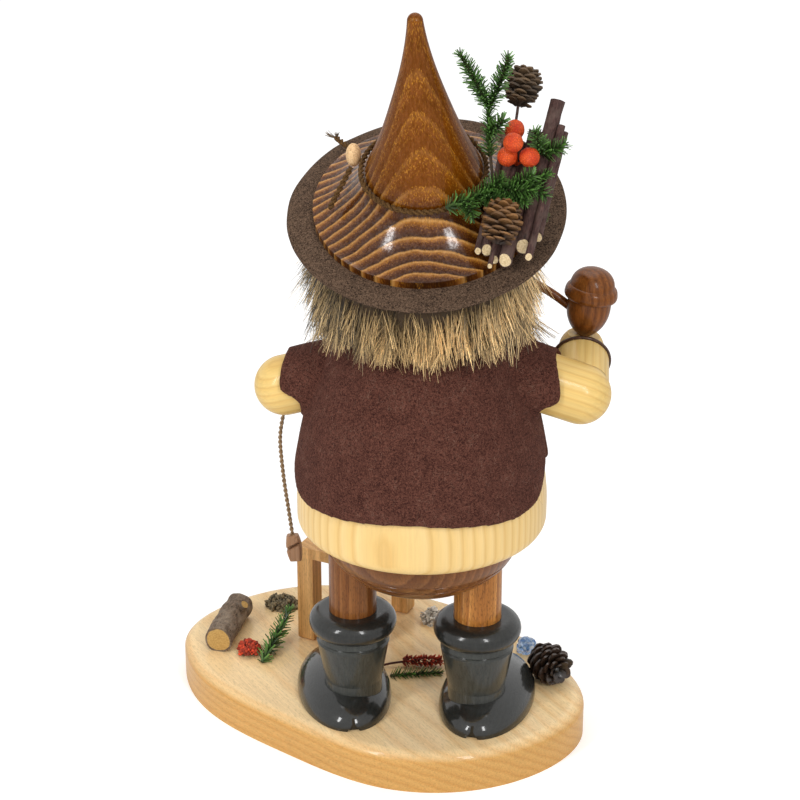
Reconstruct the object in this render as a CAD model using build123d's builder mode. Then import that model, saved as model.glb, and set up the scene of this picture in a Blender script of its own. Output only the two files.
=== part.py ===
from build123d import *
from math import cos, pi, radians, sin, sqrt, tan
import os

os.makedirs("parts", exist_ok=True)

# A turned wooden incense smoker: a forest gnome on an oval slab. Millimetres, +Z up, facing -Y, with
# the pipe in the hand at -X. The origin lies on the underside of the slab, under the body's axis.

# Slab
base_thickness = 18.0
base_edge_round = 5.0
base_outline = [
    (114, -45), (98, -13), (55, 20), (10, 41), (-42, 30),
    (-70, -14), (-50, -56), (8, -99), (68, -104), (106, -76),
]

# Shoes and boots
left_foot_x = 29.0
right_foot_x = -24.3
foot_y = 3.5
heel_reach = 23.5
left_heel_shift = -3.4
right_heel_shift = -0.2
left_shoe_splay = 15.0
right_shoe_splay = -6.0
shoe_half_sizes = (20.3, 35.0, 12.5)
shoe_rise = 1.5
shoe_seat_height = 8.0
shoe_seat_depth = 6.5
heel_notch_width = 7.0
heel_notch_height = 4.5
heel_seam_width = 1.2
heel_seam_height = 6.0
heel_seam_depth = 2.0
boot_bottom_radius = 12.3
boot_top_radius = 15.6
boot_shaft_height = 25.5
boot_collar_height = 5.0
boot_collar_inset = 0.6
boot_groove_depth = 0.9
cuff_ring_radius = 13.4
cuff_roll_radius = 5.3
cuff_roll_lift = 3.2
leg_radius = 10.1
leg_seat_depth = 6.0
glue_gap = 0.1

# Trousers, spigot and ember plate
trousers_radius = 42.0
trousers_depth = 29.0
trousers_groove_width = 1.4
trousers_groove_heights = (-15.0, -11.5)
trousers_height = 106.0
spigot_height = 8.0
spigot_clearance = 0.3
draught_radius = 4.0
plate_radius = 17.0
plate_thickness = 1.2
plate_hole_radius = 1.4
plate_hole_circle = 9.0
plate_hole_count = 6
plate_dish_radius = 5.0
leg_socket_top = 92.0

# Torso
belly_radius = 52.0
belly_round = 6.0
belly_rise = 14.0
waist_radius = 48.4
waist_rise = 39.0
chest_radius = 45.0
chest_rise = 55.0
shoulder_radius = 37.0
shoulder_rise = 76.0
torso_height = 87.0
neck_radius = 20.0
chamber_radius = 38.0
chamber_height = 38.0
throat_seat_radius = 11.0
throat_seat_depth = 14.0

# Vest
felt_thickness = 2.0
felt_gap = 0.3
vest_hem_rise = 24.0
vest_corner_drop = 7.0
vest_corner_round = 14.0
vest_half_width = 62.0
vest_lobe_reach = 57.0
vest_lobe_rise = 66.0
vest_armhole_reach = 48.5
vest_armhole_rise = 56.0
vest_neck_radius = 31.0
vest_shoulder_inset = 4.0
vest_front_gap = 16.0

# Arms
arm_radius = 12.5
right_shoulder = (-34, 0, 177)
right_elbow = (-64.5, -1, 167.5)
right_wrist = (-63.5, -21, 173.5)
left_shoulder = (34, 0, 172)
left_elbow = (57, 0, 165.5)
left_wrist = (60.0, -17, 158.5)
forearm_radius = 11.5
forearm_bed = 3.0
cuff_radius = 12.4
cuff_thickness = 1.6
cuff_edge_round = 0.6
hand_radius = 9.5
hand_sink = 3.0

# Head
head_radius = 27.0
head_rise = 113.0
neck_tenon_length = 8.0
throat_radius = 5.0
mouth_radius = 3.2
mouth_drop = 9.0
nose_radius = 6.0
nose_reach = 29.0
eye_radius = 2.4
eye_spread = 9.5
eye_rise = 5.0
hair_gap = 0.4
hair_outer = 43.5
hair_top_outer = 35.0
hair_bottom_rise = 89.0
hair_sweep = 236.0
hair_tuck = 2.0
hair_bulge_rise = 8.0
hair_top_rise = 10.0
beard_sweep = 121.0
beard_thickness = 8.0
beard_drop = 1.5
beard_lay = 2.0
beard_flare = 4.0
beard_clear = 1.0
beard_root = 6.0
beard_tip_rise = 66.0
beard_bend_rise = 13.0

# Hat
hat_centre = (-1.2, 0.0, 244.5)
hat_tilt = 25.0
brim_radius = 55.4
brim_thickness = 2.4
brim_round = 0.9
hat_foot_radius = 44.7
hat_foot_edge = 3.2
hat_flare_radius = 33.0
hat_flare_height = 8.2
hat_crease_radius = 23.8
hat_crease_height = 18.5
hat_cone_radius = 21.6
hat_cone_height = 24.0
hat_mid_radius = 11.4
hat_mid_height = 54.0
hat_tip_radius = 3.0
hat_height = 97.0
hat_tenon_radius = 10.0
hat_tenon_length = 8.0
hat_cord_radius = 1.25
hat_cord_ring = 24.45
hat_cord_height = 20.9
bead_length = 10.0
bead_width = 8.0
bead_depth = 6.0
bead_place = (28.4, -6.5, 20.9)
tail_points = [(28.4, -11.9, 19.8), (33.0, -16.0, 16.5), (37.5, -21.5, 16.0)]
end_points = [(28.8, -1.5, 19.0), (33.0, 5.0, 13.2), (36.0, 13.0, 10.0)]

# Bouquet on the hat: twigs and cones by their place across, above and along the bundle,
# berries and sprigs by their place across, along and above the hat's foot
bundle_place = (0.0, 38.5, 1.0)
twig_way = (-0.18, -0.82, 0.54)
twig_taper = 0.3
twig_cut_slant = 42.0
twigs = [
    (-21.3, 1.4, 13.0, 1.4, 44.0), (-24.7, 2.25, 13.2, 2.25, 50.0), (-28.3, 1.6, 11.0, 1.6, 48.0),
    (-32.2, 2.7, 10.4, 2.7, 54.0), (-37.6, 2.9, 16.9, 2.9, 61.0), (-42.2, 2.0, 22.7, 2.0, 44.0),
    (-27.35, 3.85, 8.3, 1.0, 40.0), (-41.2, 5.2, 14.3, 1.5, 54.0),
]
bed_place = (-36.0, 9.0, 11.0)
bed_half_sizes = (12.0, 13.0, 14.0)
lower_cone_place = (-28.6, 12.1, 15.9)
lower_cone_length = 18.0
lower_cone_radius = 7.2
upper_cone_place = (-23.1, 5.0, 71.4)
upper_cone_length = 16.5
upper_cone_radius = 6.6
cone_stalk_root = (-24.7, 4.9, 52.0)
cone_stalk_radius = 0.6
cone_rows = 5
cone_scales = 7
berry_places = [(-35.4, -2.8, 40.4), (-35.6, 6.4, 42.0), (-33.2, 6.0, 34.5), (-41.8, 7.0, 35.4)]
berry_root = (-36.5, 3.8, 28.4)
berry_radius = 3.85
wire_radius = 0.6
tall_sprig_stem = [(-28.2, 10.9, 23.8), (-26.5, 5.0, 33.0), (-25.8, 0.5, 41.5)]
tall_sprig_routes = [
    [(-25.8, 0.5, 41.5), (-25.9, -2.0, 45.6), (-25.5, -4.0, 50.0)],
    [(-25.5, -4.0, 50.0), (-21.5, -3.0, 63.0), (-15.9, -1.0, 78.0)],
    [(-25.5, -4.0, 50.0), (-30.5, -5.0, 61.0), (-33.3, -5.3, 74.0)],
]
small_sprig_route = [(-46.0, 2.1, 32.8), (-50.8, 1.5, 34.4), (-54.5, 0.6, 36.8)]
band_sprig_route = [(-11.0, 24.0, 23.5), (-24.0, 16.2, 23.6), (-36.0, 13.2, 25.7), (-49.0, 9.6, 29.4)]
needle_length = 6.5
needle_pitch = 3.6
needle_width = 0.9
needle_thickness = 0.4
needle_lean = 0.9
needle_fan = (-80.0, 0.0, 80.0)
sprig_stem_radius = 0.8
cone_step = 0.66
cone_lip = 0.5
cone_notch = 0.2
cone_crown = 0.6
cone_swell = 0.9
bend_share = 0.45

# Pipe, with the stem's bends given by their height from the mouth
bowl_tip_radius = 2.2
bowl_cup_radius = 9.0
bowl_cap_radius = 10.9
bowl_cap_height = 16.5
bowl_dome_radius = 9.3
bowl_ring_height = 5.6
bowl_height = 29.5
bowl_sink = 3.0
bowl_lip = 0.8
bowl_lip_rise = 3.0
bowl_crown = 1.0
bowl_swell = 0.7
bowl_crown_share = 0.55
bowl_lean = (-0.13, 0, 0.99)
stem_radius = 1.8
stem_height = 7.0
stem_points = [(-45.7, -31.0, -7.4), (-22.0, -37.0, -1.0)]

# Cord and whistle
cord_diameter = 1.9
cord_gap = 0.3
cord_points = [
    (62.9, -24.6, 138.5), (64.2, -24.9, 130.0), (63.6, -25.1, 119.0),
    (62.5, -24.9, 107.5), (60.8, -24.5, 95.5), (59.4, -24.3, 84.0),
]
whistle_length = 12.0
whistle_width = 6.4
whistle_depth = 5.0
whistle_round = 1.0
whistle_end_inset = 0.7
whistle_middle = 0.55
whistle_slot_place = 0.45
whistle_slot = 1.6
whistle_slot_turn = 25.0

# Stool
stool_centre = (37.5, -68.0)
stool_turn = -20.0
stool_leg_side = 8.0
stool_leg_spread = (26.4, 41.6)
stool_height = 47.0
stool_seat_thickness = 5.0
stool_foot_round = 1.5

# Trimmings
log_radius = 6.2
log_length = 34.0
log_start = (96.6, -34.0)
log_turn = 8.0
log_flat = 0.4
stub_radius = 2.2
stub_length = 3.0
stub_share = 0.72
stub_way = (-0.6, 0.2, 0.77)
lichen_place = (74.5, -79.0)
lichen_half_sizes = (8.0, 5.0, 6.0)
pale_tuft_place = (3.2, -72.0)
pale_tuft_half_sizes = (4.2, 3.6, 8.0)
ground_sprig_route = [(74.5, -25.0, 19.0), (70.0, -41.0, 24.0), (66.8, -54.0, 30.0)]
flower_place = (82.0, -34.0)
flower_stalk_radius = 2.2
flower_height = 1.5
flower_head_radius = 3.2
flower_head_height = 4.0
flower_petals = 6
flower_petal_radius = 1.8
flower_taper = 12.0
spike_sprig_route = [(16.0, -20.2, 19.0), (6.0, -23.0, 19.1), (-5.8, -25.5, 19.0)]
spike_needle_length = 4.5
spike_start = (12.0, -30.5, 21.0)
spike_end = (-5.0, -32.8, 21.0)
spike_radius = 2.7
spike_rows = 6
spike_scales = 6
spike_stalk_radius = 0.5
spike_stalk_route = [(20.5, -29.0, 18.8), (16.5, -29.8, 20.4), (11.0, -30.6, 21.0)]
ground_cone_place = (-53.5, -28.0)
ground_cone_turn = 124.0
ground_cone_length = 20.0
ground_cone_radius = 8.0
ground_cone_rows = 6
stone_place = (-42.0, -51.0)
stone_turn = 20.0
stone_radius = 5.5
stone_height = 9.0
stone_taper = 14.0
stone_chamfer = 1.2

# Worked-out places
base_top = base_thickness
boot_bottom = base_top + shoe_seat_height
boot_groove = boot_bottom + boot_shaft_height
cuff_height = boot_groove + boot_collar_height + cuff_roll_lift
leg_bottom = cuff_height + cuff_roll_radius - leg_seat_depth
torso_bottom = trousers_height
torso_top = torso_bottom + torso_height
head_centre = (0, 0, torso_bottom + head_rise)
hat_axis = (0, sin(radians(hat_tilt)), cos(radians(hat_tilt)))
hat_plane = Plane(origin=hat_centre, x_dir=(1, 0, 0), z_dir=hat_axis)
spigot_radius = chamber_radius - spigot_clearance


def finish(piece, name):
    piece.label = name
    export_step(piece, f"parts/{name}.step")


def on_hat(x, y, h):
    return hat_plane.from_local_coords(Vector(x, y, h))


# Slab: one curved outline with a rounded top edge
with BuildPart() as base_plate:
    with BuildSketch():
        with BuildLine():
            Spline(*base_outline, periodic=True)
        make_face()
    extrude(amount=base_thickness)
    fillet(base_plate.faces().sort_by(Axis.Z)[-1].edges(), base_edge_round)
finish(base_plate.part, "base_plate")


# Rounded forms: a ball stretched to three half sizes
def pebble(plane, half_sizes):
    return plane.location * scale(Sphere(1), by=half_sizes)


# Shoe: a carved egg shape, flat below, with a seat for the boot and a notched, seamed heel
def make_shoe(foot_x, heel_shift, splay):
    back = Plane((foot_x + heel_shift, foot_y + heel_reach, base_top)).rotated((0, 0, splay))
    middle = back.from_local_coords((0, -shoe_half_sizes[1], shoe_rise))
    behind = back.from_local_coords((0, heel_seam_depth, 0))
    with BuildPart() as shoe:
        add(pebble(Plane(middle, x_dir=back.x_dir, z_dir=back.z_dir), shoe_half_sizes))
        split(bisect_by=Plane.XY.offset(base_top), keep=Keep.TOP)
        with BuildSketch(Plane((foot_x, foot_y, boot_bottom))):
            Circle(boot_bottom_radius + glue_gap)
        extrude(amount=shoe_half_sizes[2], mode=Mode.SUBTRACT)
        with BuildSketch(Plane(behind, x_dir=-back.x_dir, z_dir=back.y_dir)):
            with BuildLine():
                Polyline(
                    (-heel_notch_width / 2, -heel_seam_width), (0, heel_notch_height),
                    (heel_notch_width / 2, -heel_seam_width), close=True,
                )
            make_face()
            Rectangle(heel_seam_width, 2 * heel_seam_height)
        extrude(amount=-2 * heel_seam_depth, mode=Mode.SUBTRACT)
    return shoe.part


# Boot shaft: a turned, flaring shaft with a groove, a collar and a rolled cuff round the leg's seat
def make_boot(foot_x):
    seat_radius = leg_radius + glue_gap
    collar_top = boot_groove + boot_collar_height
    with BuildPart() as boot:
        with BuildSketch(Plane((foot_x, foot_y, 0), x_dir=(1, 0, 0), z_dir=(0, -1, 0))):
            with BuildLine():
                Polyline(
                    (0, boot_bottom),
                    (boot_bottom_radius, boot_bottom),
                    (boot_bottom_radius, boot_bottom + shoe_seat_depth),
                    (boot_top_radius, boot_groove - boot_groove_depth),
                    (boot_top_radius - boot_groove_depth, boot_groove),
                    (boot_top_radius, boot_groove + boot_groove_depth),
                    (boot_top_radius - boot_collar_inset, collar_top),
                    (0, collar_top),
                    close=True,
                )
            make_face()
            with Locations((cuff_ring_radius, cuff_height)):
                Circle(cuff_roll_radius)
            with Locations((cuff_ring_radius / 2, cuff_height)):
                Rectangle(cuff_ring_radius, 2 * cuff_roll_radius)
            with Locations((seat_radius / 2, leg_bottom + leg_seat_depth)):
                Rectangle(seat_radius, 2 * leg_seat_depth, mode=Mode.SUBTRACT)
        revolve(axis=Axis((foot_x, foot_y, 0), (0, 0, 1)))
    return boot.part


# Trousers: half a turned ellipsoid with two grooves, the spigot on top and the draught bore through it
with BuildPart() as trousers:
    with BuildSketch(Plane.XZ):
        with BuildLine():
            Line((0, trousers_height), (trousers_radius, trousers_height))
            EllipticalCenterArc(
                (0, trousers_height), trousers_radius, trousers_depth, start_angle=270, arc_size=90
            )
            Line((0, trousers_height - trousers_depth), (0, trousers_height))
        make_face()
        with Locations((spigot_radius / 2, trousers_height + spigot_height / 2)):
            Rectangle(spigot_radius, spigot_height)
        for groove in trousers_groove_heights:
            reach = trousers_radius * sqrt(1 - (groove / trousers_depth) ** 2)
            with Locations((reach, trousers_height + groove)):
                Circle(trousers_groove_width / 2, mode=Mode.SUBTRACT)
        with Locations((draught_radius / 2, trousers_height)):
            Rectangle(draught_radius, 3 * trousers_depth, mode=Mode.SUBTRACT)
        plate_seat = trousers_height + spigot_height - plate_thickness
        with Locations((plate_radius / 2, plate_seat + plate_thickness)):
            Rectangle(plate_radius + 2 * glue_gap, 2 * plate_thickness, mode=Mode.SUBTRACT)
        with Locations((plate_hole_circle / 2, plate_seat)):
            Rectangle(plate_hole_circle + 4 * plate_hole_radius, 2 * plate_thickness, mode=Mode.SUBTRACT)
    revolve(axis=Axis.Z)
    with Locations((left_foot_x, foot_y, leg_socket_top), (right_foot_x, foot_y, leg_socket_top)):
        Cylinder(
            leg_radius + glue_gap, trousers_height, align=(Align.CENTER, Align.CENTER, Align.MAX),
            mode=Mode.SUBTRACT,
        )
finish(trousers.part, "trousers")

finish(make_shoe(left_foot_x, left_heel_shift, left_shoe_splay), "left_shoe")
finish(make_shoe(right_foot_x, right_heel_shift, right_shoe_splay), "right_shoe")
for side_name, foot_x in (("left", left_foot_x), ("right", right_foot_x)):
    finish(make_boot(foot_x), f"{side_name}_boot_shaft")
    with BuildPart(Plane((foot_x, foot_y, leg_bottom + glue_gap))) as leg:
        Cylinder(
            leg_radius, leg_socket_top - leg_bottom - 2 * glue_gap,
            align=(Align.CENTER, Align.CENTER, Align.MIN),
        )
    finish(leg.part, f"{side_name}_leg")

# Ember plate: a thin brass disc with a dished middle and a ring of draught holes
with BuildPart() as ember_plate:
    with BuildSketch(Plane.XY.offset(trousers_height + spigot_height - plate_thickness)):
        Circle(plate_radius)
        with PolarLocations(plate_hole_circle, plate_hole_count):
            Circle(plate_hole_radius, mode=Mode.SUBTRACT)
    extrude(amount=plate_thickness)
    with BuildSketch(Plane.XY.offset(trousers_height + spigot_height)):
        Circle(plate_dish_radius)
    extrude(amount=-plate_thickness / 2, mode=Mode.SUBTRACT)
finish(ember_plate.part, "ember_plate")


# The body's turned form, grown by a felt's distance where the vest lies over it
def body_form(grow):
    foot = torso_bottom - min(grow, 0)
    with BuildPart() as form:
        with BuildSketch(Plane.XZ):
            with BuildLine():
                Line((0, foot), (belly_radius - belly_round, foot))
                RadiusArc(
                    (belly_radius - belly_round, foot), (belly_radius + grow, foot + belly_round + grow),
                    -belly_round - grow,
                )
                Spline(
                    (belly_radius + grow, foot + belly_round + grow),
                    (belly_radius + grow, torso_bottom + belly_rise),
                    (waist_radius + grow, torso_bottom + waist_rise),
                    (chest_radius + grow, torso_bottom + chest_rise),
                    (shoulder_radius + grow, torso_bottom + shoulder_rise),
                    (neck_radius, torso_top + grow),
                    tangents=[(0, 1), (-1, 0)],
                )
                Line((neck_radius, torso_top + grow), (0, torso_top + grow))
                Line((0, torso_top + grow), (0, foot))
            make_face()
        revolve(axis=Axis.Z)
    return form.part


body = body_form(0.0)

# Torso: the form, bored from below as the smoke chamber, with a throat up to the seat for the neck
with BuildPart() as torso:
    add(body)
    with BuildSketch(Plane.XZ):
        with BuildLine():
            chamber_top = torso_bottom + chamber_height
            throat = torso_top - throat_seat_depth
            Polyline(
                (0, trousers_height), (chamber_radius, trousers_height), (chamber_radius, chamber_top),
                (throat_radius, chamber_top), (throat_radius, throat), (throat_seat_radius, throat),
                (throat_seat_radius, torso_top), (0, torso_top), close=True,
            )
        make_face()
    revolve(axis=Axis.Z, mode=Mode.SUBTRACT)
finish(torso.part, "torso")


# Arms: a round-ended upper arm, a forearm glued to its side, a thin dark ring and a ball for the hand
def rod(start, end, radius, extra=0.0, ball_end=False):
    axis = Vector(*end) - Vector(*start)
    with BuildPart(Plane(Vector(*start), z_dir=axis)) as piece:
        Cylinder(radius, axis.length + extra, align=(Align.CENTER, Align.CENTER, Align.MIN))
        if ball_end:
            with Locations((0, 0, axis.length)):
                Sphere(radius)
    return piece.part


def make_arm(shoulder, elbow, wrist):
    fore_way = (Vector(*wrist) - Vector(*elbow)).normalized()
    with BuildPart() as upper:
        add(rod(shoulder, elbow, arm_radius, ball_end=True))
        add(body, mode=Mode.SUBTRACT)
    upper_arm = upper.solids().sort_by(Axis.X)[-1 if elbow[0] > 0 else 0]
    socket = rod(shoulder, elbow, arm_radius + glue_gap, ball_end=True)
    with BuildPart() as fore:
        add(rod(Vector(*elbow) - fore_way * forearm_bed, wrist, forearm_radius))
        add(socket, mode=Mode.SUBTRACT)
    wrist_plane = Plane(Vector(*wrist), z_dir=fore_way)
    with BuildPart(wrist_plane) as cuff:
        Cylinder(cuff_radius, cuff_thickness, align=(Align.CENTER, Align.CENTER, Align.MIN))
        fillet(cuff.edges(), cuff_edge_round)
    palm = wrist_plane.offset(cuff_thickness)
    with BuildPart(palm) as hand:
        with Locations((0, 0, hand_radius - hand_sink)):
            Sphere(hand_radius)
        split(bisect_by=palm, keep=Keep.TOP)
    hand_centre = palm.origin + fore_way * (hand_radius - hand_sink)
    return upper_arm, fore.part, cuff.part, hand.part, hand_centre


right_arm = make_arm(right_shoulder, right_elbow, right_wrist)
left_arm = make_arm(left_shoulder, left_elbow, left_wrist)
right_hand_centre = right_arm[4]
left_hand_centre = left_arm[4]
bowl_axis = Vector(*bowl_lean).normalized()
bowl_foot = right_hand_centre + bowl_axis * (hand_radius - bowl_sink)
with BuildPart() as right_hand:
    add(right_arm[3])
    with BuildSketch(Plane(bowl_foot, z_dir=bowl_axis)):
        Circle(bowl_cup_radius)
    extrude(amount=hand_radius, mode=Mode.SUBTRACT)
finish(right_arm[0], "right_upper_arm")
finish(right_arm[1], "right_forearm")
finish(right_arm[2], "right_cuff")
finish(right_hand.part, "right_hand")
finish(left_arm[0], "left_upper_arm")
finish(left_arm[1], "left_forearm")
finish(left_arm[2], "left_cuff")
finish(left_arm[3], "left_hand")

# Vest: felt over body and arm tops, cut to a tabard with rounded hem corners, armholes and an open front
felt_outer = felt_gap + felt_thickness
with BuildPart() as vest:
    add(body_form(felt_outer))
    add(rod(right_shoulder, right_elbow, arm_radius + felt_outer))
    add(rod(left_shoulder, left_elbow, arm_radius + felt_outer))
    add(body_form(felt_gap), mode=Mode.SUBTRACT)
    add(rod(right_shoulder, right_elbow, arm_radius + felt_gap, arm_radius), mode=Mode.SUBTRACT)
    add(rod(left_shoulder, left_elbow, arm_radius + felt_gap, arm_radius), mode=Mode.SUBTRACT)
    add(rod(right_elbow, right_wrist, arm_radius + felt_gap), mode=Mode.SUBTRACT)
    add(rod(left_elbow, left_wrist, arm_radius + felt_gap), mode=Mode.SUBTRACT)
    with BuildSketch(Plane.XZ.offset(-2 * belly_radius)):
        hem = torso_bottom + vest_hem_rise
        lobe = torso_bottom + vest_lobe_rise
        armhole = torso_bottom + vest_armhole_rise
        with BuildLine():
            Spline(
                (0, hem), (vest_half_width - vest_corner_round, hem - vest_corner_drop / 2),
                tangents=[(1, 0), (1, 0)],
            )
            Spline(
                (vest_half_width - vest_corner_round, hem - vest_corner_drop / 2),
                (vest_half_width, hem + vest_corner_round),
                (vest_armhole_reach, armhole),
                tangents=[(1, 0), (0, 1)],
            )
            Spline((vest_armhole_reach, armhole), (vest_lobe_reach, lobe), tangents=[(0, 1), (0, 1)])
            Spline(
                (vest_lobe_reach, lobe), (vest_lobe_reach - vest_shoulder_inset, torso_top),
                tangents=[(0, 1), (0, 1)],
            )
            Polyline(
                (vest_lobe_reach - vest_shoulder_inset, torso_top),
                (vest_lobe_reach - vest_shoulder_inset, head_centre[2]),
                (0, head_centre[2]),
            )
            mirror(about=Plane.YZ)
        make_face()
    extrude(amount=4 * belly_radius, mode=Mode.INTERSECT)
    with BuildSketch(Plane.XY.offset(torso_top - belly_radius)):
        Circle(vest_neck_radius)
    extrude(amount=2 * belly_radius, mode=Mode.SUBTRACT)
    with BuildSketch(Plane.XZ):
        with BuildLine():
            Polyline(
                (-vest_front_gap / 2, torso_bottom), (vest_front_gap / 2, torso_bottom),
                (vest_front_gap, head_centre[2]), (-vest_front_gap, head_centre[2]), close=True,
            )
        make_face()
    extrude(amount=2 * belly_radius, mode=Mode.SUBTRACT)
finish(vest.part, "vest")

# Head: a ball with a neck tenon, flattened for the brim, with a tenon for the hat and the smoke bore
mouth_height = head_centre[2] - mouth_drop
with BuildPart() as head:
    with Locations(head_centre):
        Sphere(head_radius)
    with BuildSketch(Plane.XY.offset(torso_top - neck_tenon_length)):
        Circle(throat_seat_radius - glue_gap)
    extrude(amount=head_centre[2] - torso_top)
    split(bisect_by=hat_plane.offset(-brim_thickness), keep=Keep.BOTTOM)
    with BuildSketch(hat_plane.offset(hat_tenon_length)):
        Circle(hat_tenon_radius)
    extrude(amount=-hat_tenon_length - head_radius / 2)
    with BuildSketch(Plane.XY.offset(torso_top - neck_tenon_length)):
        Circle(throat_radius)
    extrude(amount=mouth_height + neck_tenon_length - torso_top, mode=Mode.SUBTRACT)
    with BuildSketch(Plane.XZ):
        with Locations((0, mouth_height)):
            Circle(mouth_radius)
    extrude(amount=head_radius, mode=Mode.SUBTRACT)
finish(head.part, "head")

with BuildPart() as nose:
    with Locations((0, -nose_reach, head_centre[2])):
        Sphere(nose_radius)
    with Locations(head_centre):
        Sphere(head_radius + glue_gap, mode=Mode.SUBTRACT)
finish(nose.part, "nose")

eye_reach = sqrt(head_radius ** 2 - eye_spread ** 2 - eye_rise ** 2)
eye_height = head_centre[2] + eye_rise
with BuildPart() as eyes:
    with Locations((eye_spread, -eye_reach, eye_height), (-eye_spread, -eye_reach, eye_height)):
        Sphere(eye_radius)
    with Locations(head_centre):
        Sphere(head_radius + glue_gap, mode=Mode.SUBTRACT)
finish(eyes.part, "eyes")

# Hair: a thick fur skirt round the back and sides of the head, under the brim
with BuildPart() as hair:
    with BuildSketch(Plane.XZ.rotated((0, 0, 90 - hair_sweep / 2))):
        bottom = torso_bottom + hair_bottom_rise
        with BuildLine():
            crown = head_centre[2] + head_radius + hair_top_rise
            Line((head_radius + hair_gap, bottom), (hair_outer - hair_tuck, bottom))
            Spline(
                (hair_outer - hair_tuck, bottom),
                (hair_outer, bottom + hair_bulge_rise),
                (hair_top_outer, crown),
                tangents=[(0.4, 1), (-0.4, 1)],
            )
            Polyline(
                (hair_top_outer, crown), (head_radius + hair_gap, crown), (head_radius + hair_gap, bottom)
            )
        make_face()
    revolve(axis=Axis.Z, revolution_arc=hair_sweep)
    split(bisect_by=hat_plane.offset(-brim_thickness - hair_gap), keep=Keep.BOTTOM)
finish(hair.part, "hair")

# Beard: fur from below the mouth, lying outside the chest and the vest's front
with BuildPart() as beard:
    with BuildSketch(Plane.XZ.rotated((0, 0, -90 - beard_sweep / 2))):
        chin = mouth_height - mouth_radius - beard_drop
        tip = torso_bottom + beard_tip_rise
        chest = shoulder_radius + felt_outer
        front = chest + beard_thickness
        nape = torso_top + felt_outer + beard_clear
        with BuildLine():
            Line((head_radius + hair_gap, chin), (head_radius + beard_thickness, chin - beard_lay))
            Spline(
                (head_radius + beard_thickness, chin - beard_lay),
                (front + beard_flare, tip + beard_thickness),
                (front + beard_flare - beard_clear, tip),
            )
            Polyline(
                (front + beard_flare - beard_clear, tip),
                (front - beard_clear, tip),
                (chest + beard_lay, tip + beard_bend_rise),
                (head_radius + beard_root, nape),
                (head_radius + hair_gap, nape),
                (head_radius + hair_gap, chin),
            )
        make_face()
    revolve(axis=Axis.Z, revolution_arc=beard_sweep)
finish(beard.part, "beard")

# Brim: a felt disc under the hat's foot, with a hole for the hat's tenon
with BuildPart() as hat_brim:
    with BuildSketch(hat_plane.offset(-brim_thickness)):
        Circle(brim_radius)
        Circle(hat_tenon_radius + glue_gap, mode=Mode.SUBTRACT)
    extrude(amount=brim_thickness)
    fillet(hat_brim.edges().filter_by(GeomType.CIRCLE).sort_by(SortBy.RADIUS)[-2:], brim_round)
finish(hat_brim.part, "hat_brim")

# Hat: a turned cone rising from a flared foot, with a socket for the tenon below
hat_side = Plane(hat_plane.origin, x_dir=hat_plane.x_dir, z_dir=-hat_plane.y_dir)
with BuildPart() as hat:
    with BuildSketch(hat_side):
        with BuildLine():
            Polyline((0, 0), (hat_foot_radius, 0), (hat_foot_radius, hat_foot_edge))
            Spline(
                (hat_foot_radius, hat_foot_edge), (hat_flare_radius, hat_flare_height),
                (hat_crease_radius, hat_crease_height), tangents=[(-1, 0.15), (-0.4, 1)],
            )
            Spline(
                (hat_crease_radius, hat_crease_height), (hat_cone_radius, hat_cone_height),
                (hat_mid_radius, hat_mid_height), (hat_tip_radius, hat_height - hat_tip_radius),
                tangents=[(-0.3, 1), (-0.1, 1)],
            )
            ThreePointArc(
                (hat_tip_radius, hat_height - hat_tip_radius),
                (hat_tip_radius * sin(pi / 4), hat_height - hat_tip_radius * (1 - sin(pi / 4))),
                (0, hat_height),
            )
            Line((0, hat_height), (0, 0))
        make_face()
        with Locations((hat_tenon_radius / 2, 0)):
            Rectangle(
                hat_tenon_radius + 2 * glue_gap, 2 * (hat_tenon_length + glue_gap), mode=Mode.SUBTRACT
            )
    revolve(axis=Axis(hat_plane.origin, hat_plane.z_dir))
finish(hat.part, "hat")


# A bent tube through the points of a route, with arcs as large as its runs allow
def bend_radii(route):
    radii = []
    for before, corner, after in zip(route, route[1:], route[2:]):
        coming = Vector(*corner) - Vector(*before)
        going = Vector(*after) - Vector(*corner)
        half_turn = radians(coming.get_angle(going)) / 2
        radii.append(bend_share * min(coming.length, going.length) / tan(half_turn))
    return radii


def tube(route, radius, name):
    radii = bend_radii(route)
    with BuildPart() as piece:
        with BuildLine():
            path = FilletPolyline(*route, radius=radii)
        with BuildSketch(Plane(path @ 0, z_dir=path % 0)):
            Circle(radius)
        sweep()
    share = piece.part.volume / (pi * radius ** 2 * path.length)
    print(name, [round(bend, 1) for bend in radii], round(path.length, 1), round(share, 4))
    return piece.part


# Hat cord: a ring in the hat's crease, with a frayed tail and a loose end by the bead
bead_seat = on_hat(*bead_place)
tail_route = [tuple(on_hat(*point)) for point in tail_points]
end_route = [tuple(on_hat(*point)) for point in end_points]
tail = tube(tail_route, hat_cord_radius, "tail")
loose_end = tube(end_route, hat_cord_radius, "loose end")
with BuildPart() as hat_cord:
    with Locations(hat_plane.offset(hat_cord_height).location):
        Torus(hat_cord_ring, hat_cord_radius)
    add(tail)
    add(loose_end)
finish(hat_cord.part, "hat_cord")


bead = pebble(
    Plane(bead_seat, x_dir=hat_plane.x_dir, z_dir=hat_plane.z_dir),
    (bead_depth / 2, bead_width / 2, bead_length / 2),
)
finish(bead, "hat_bead")


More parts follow.
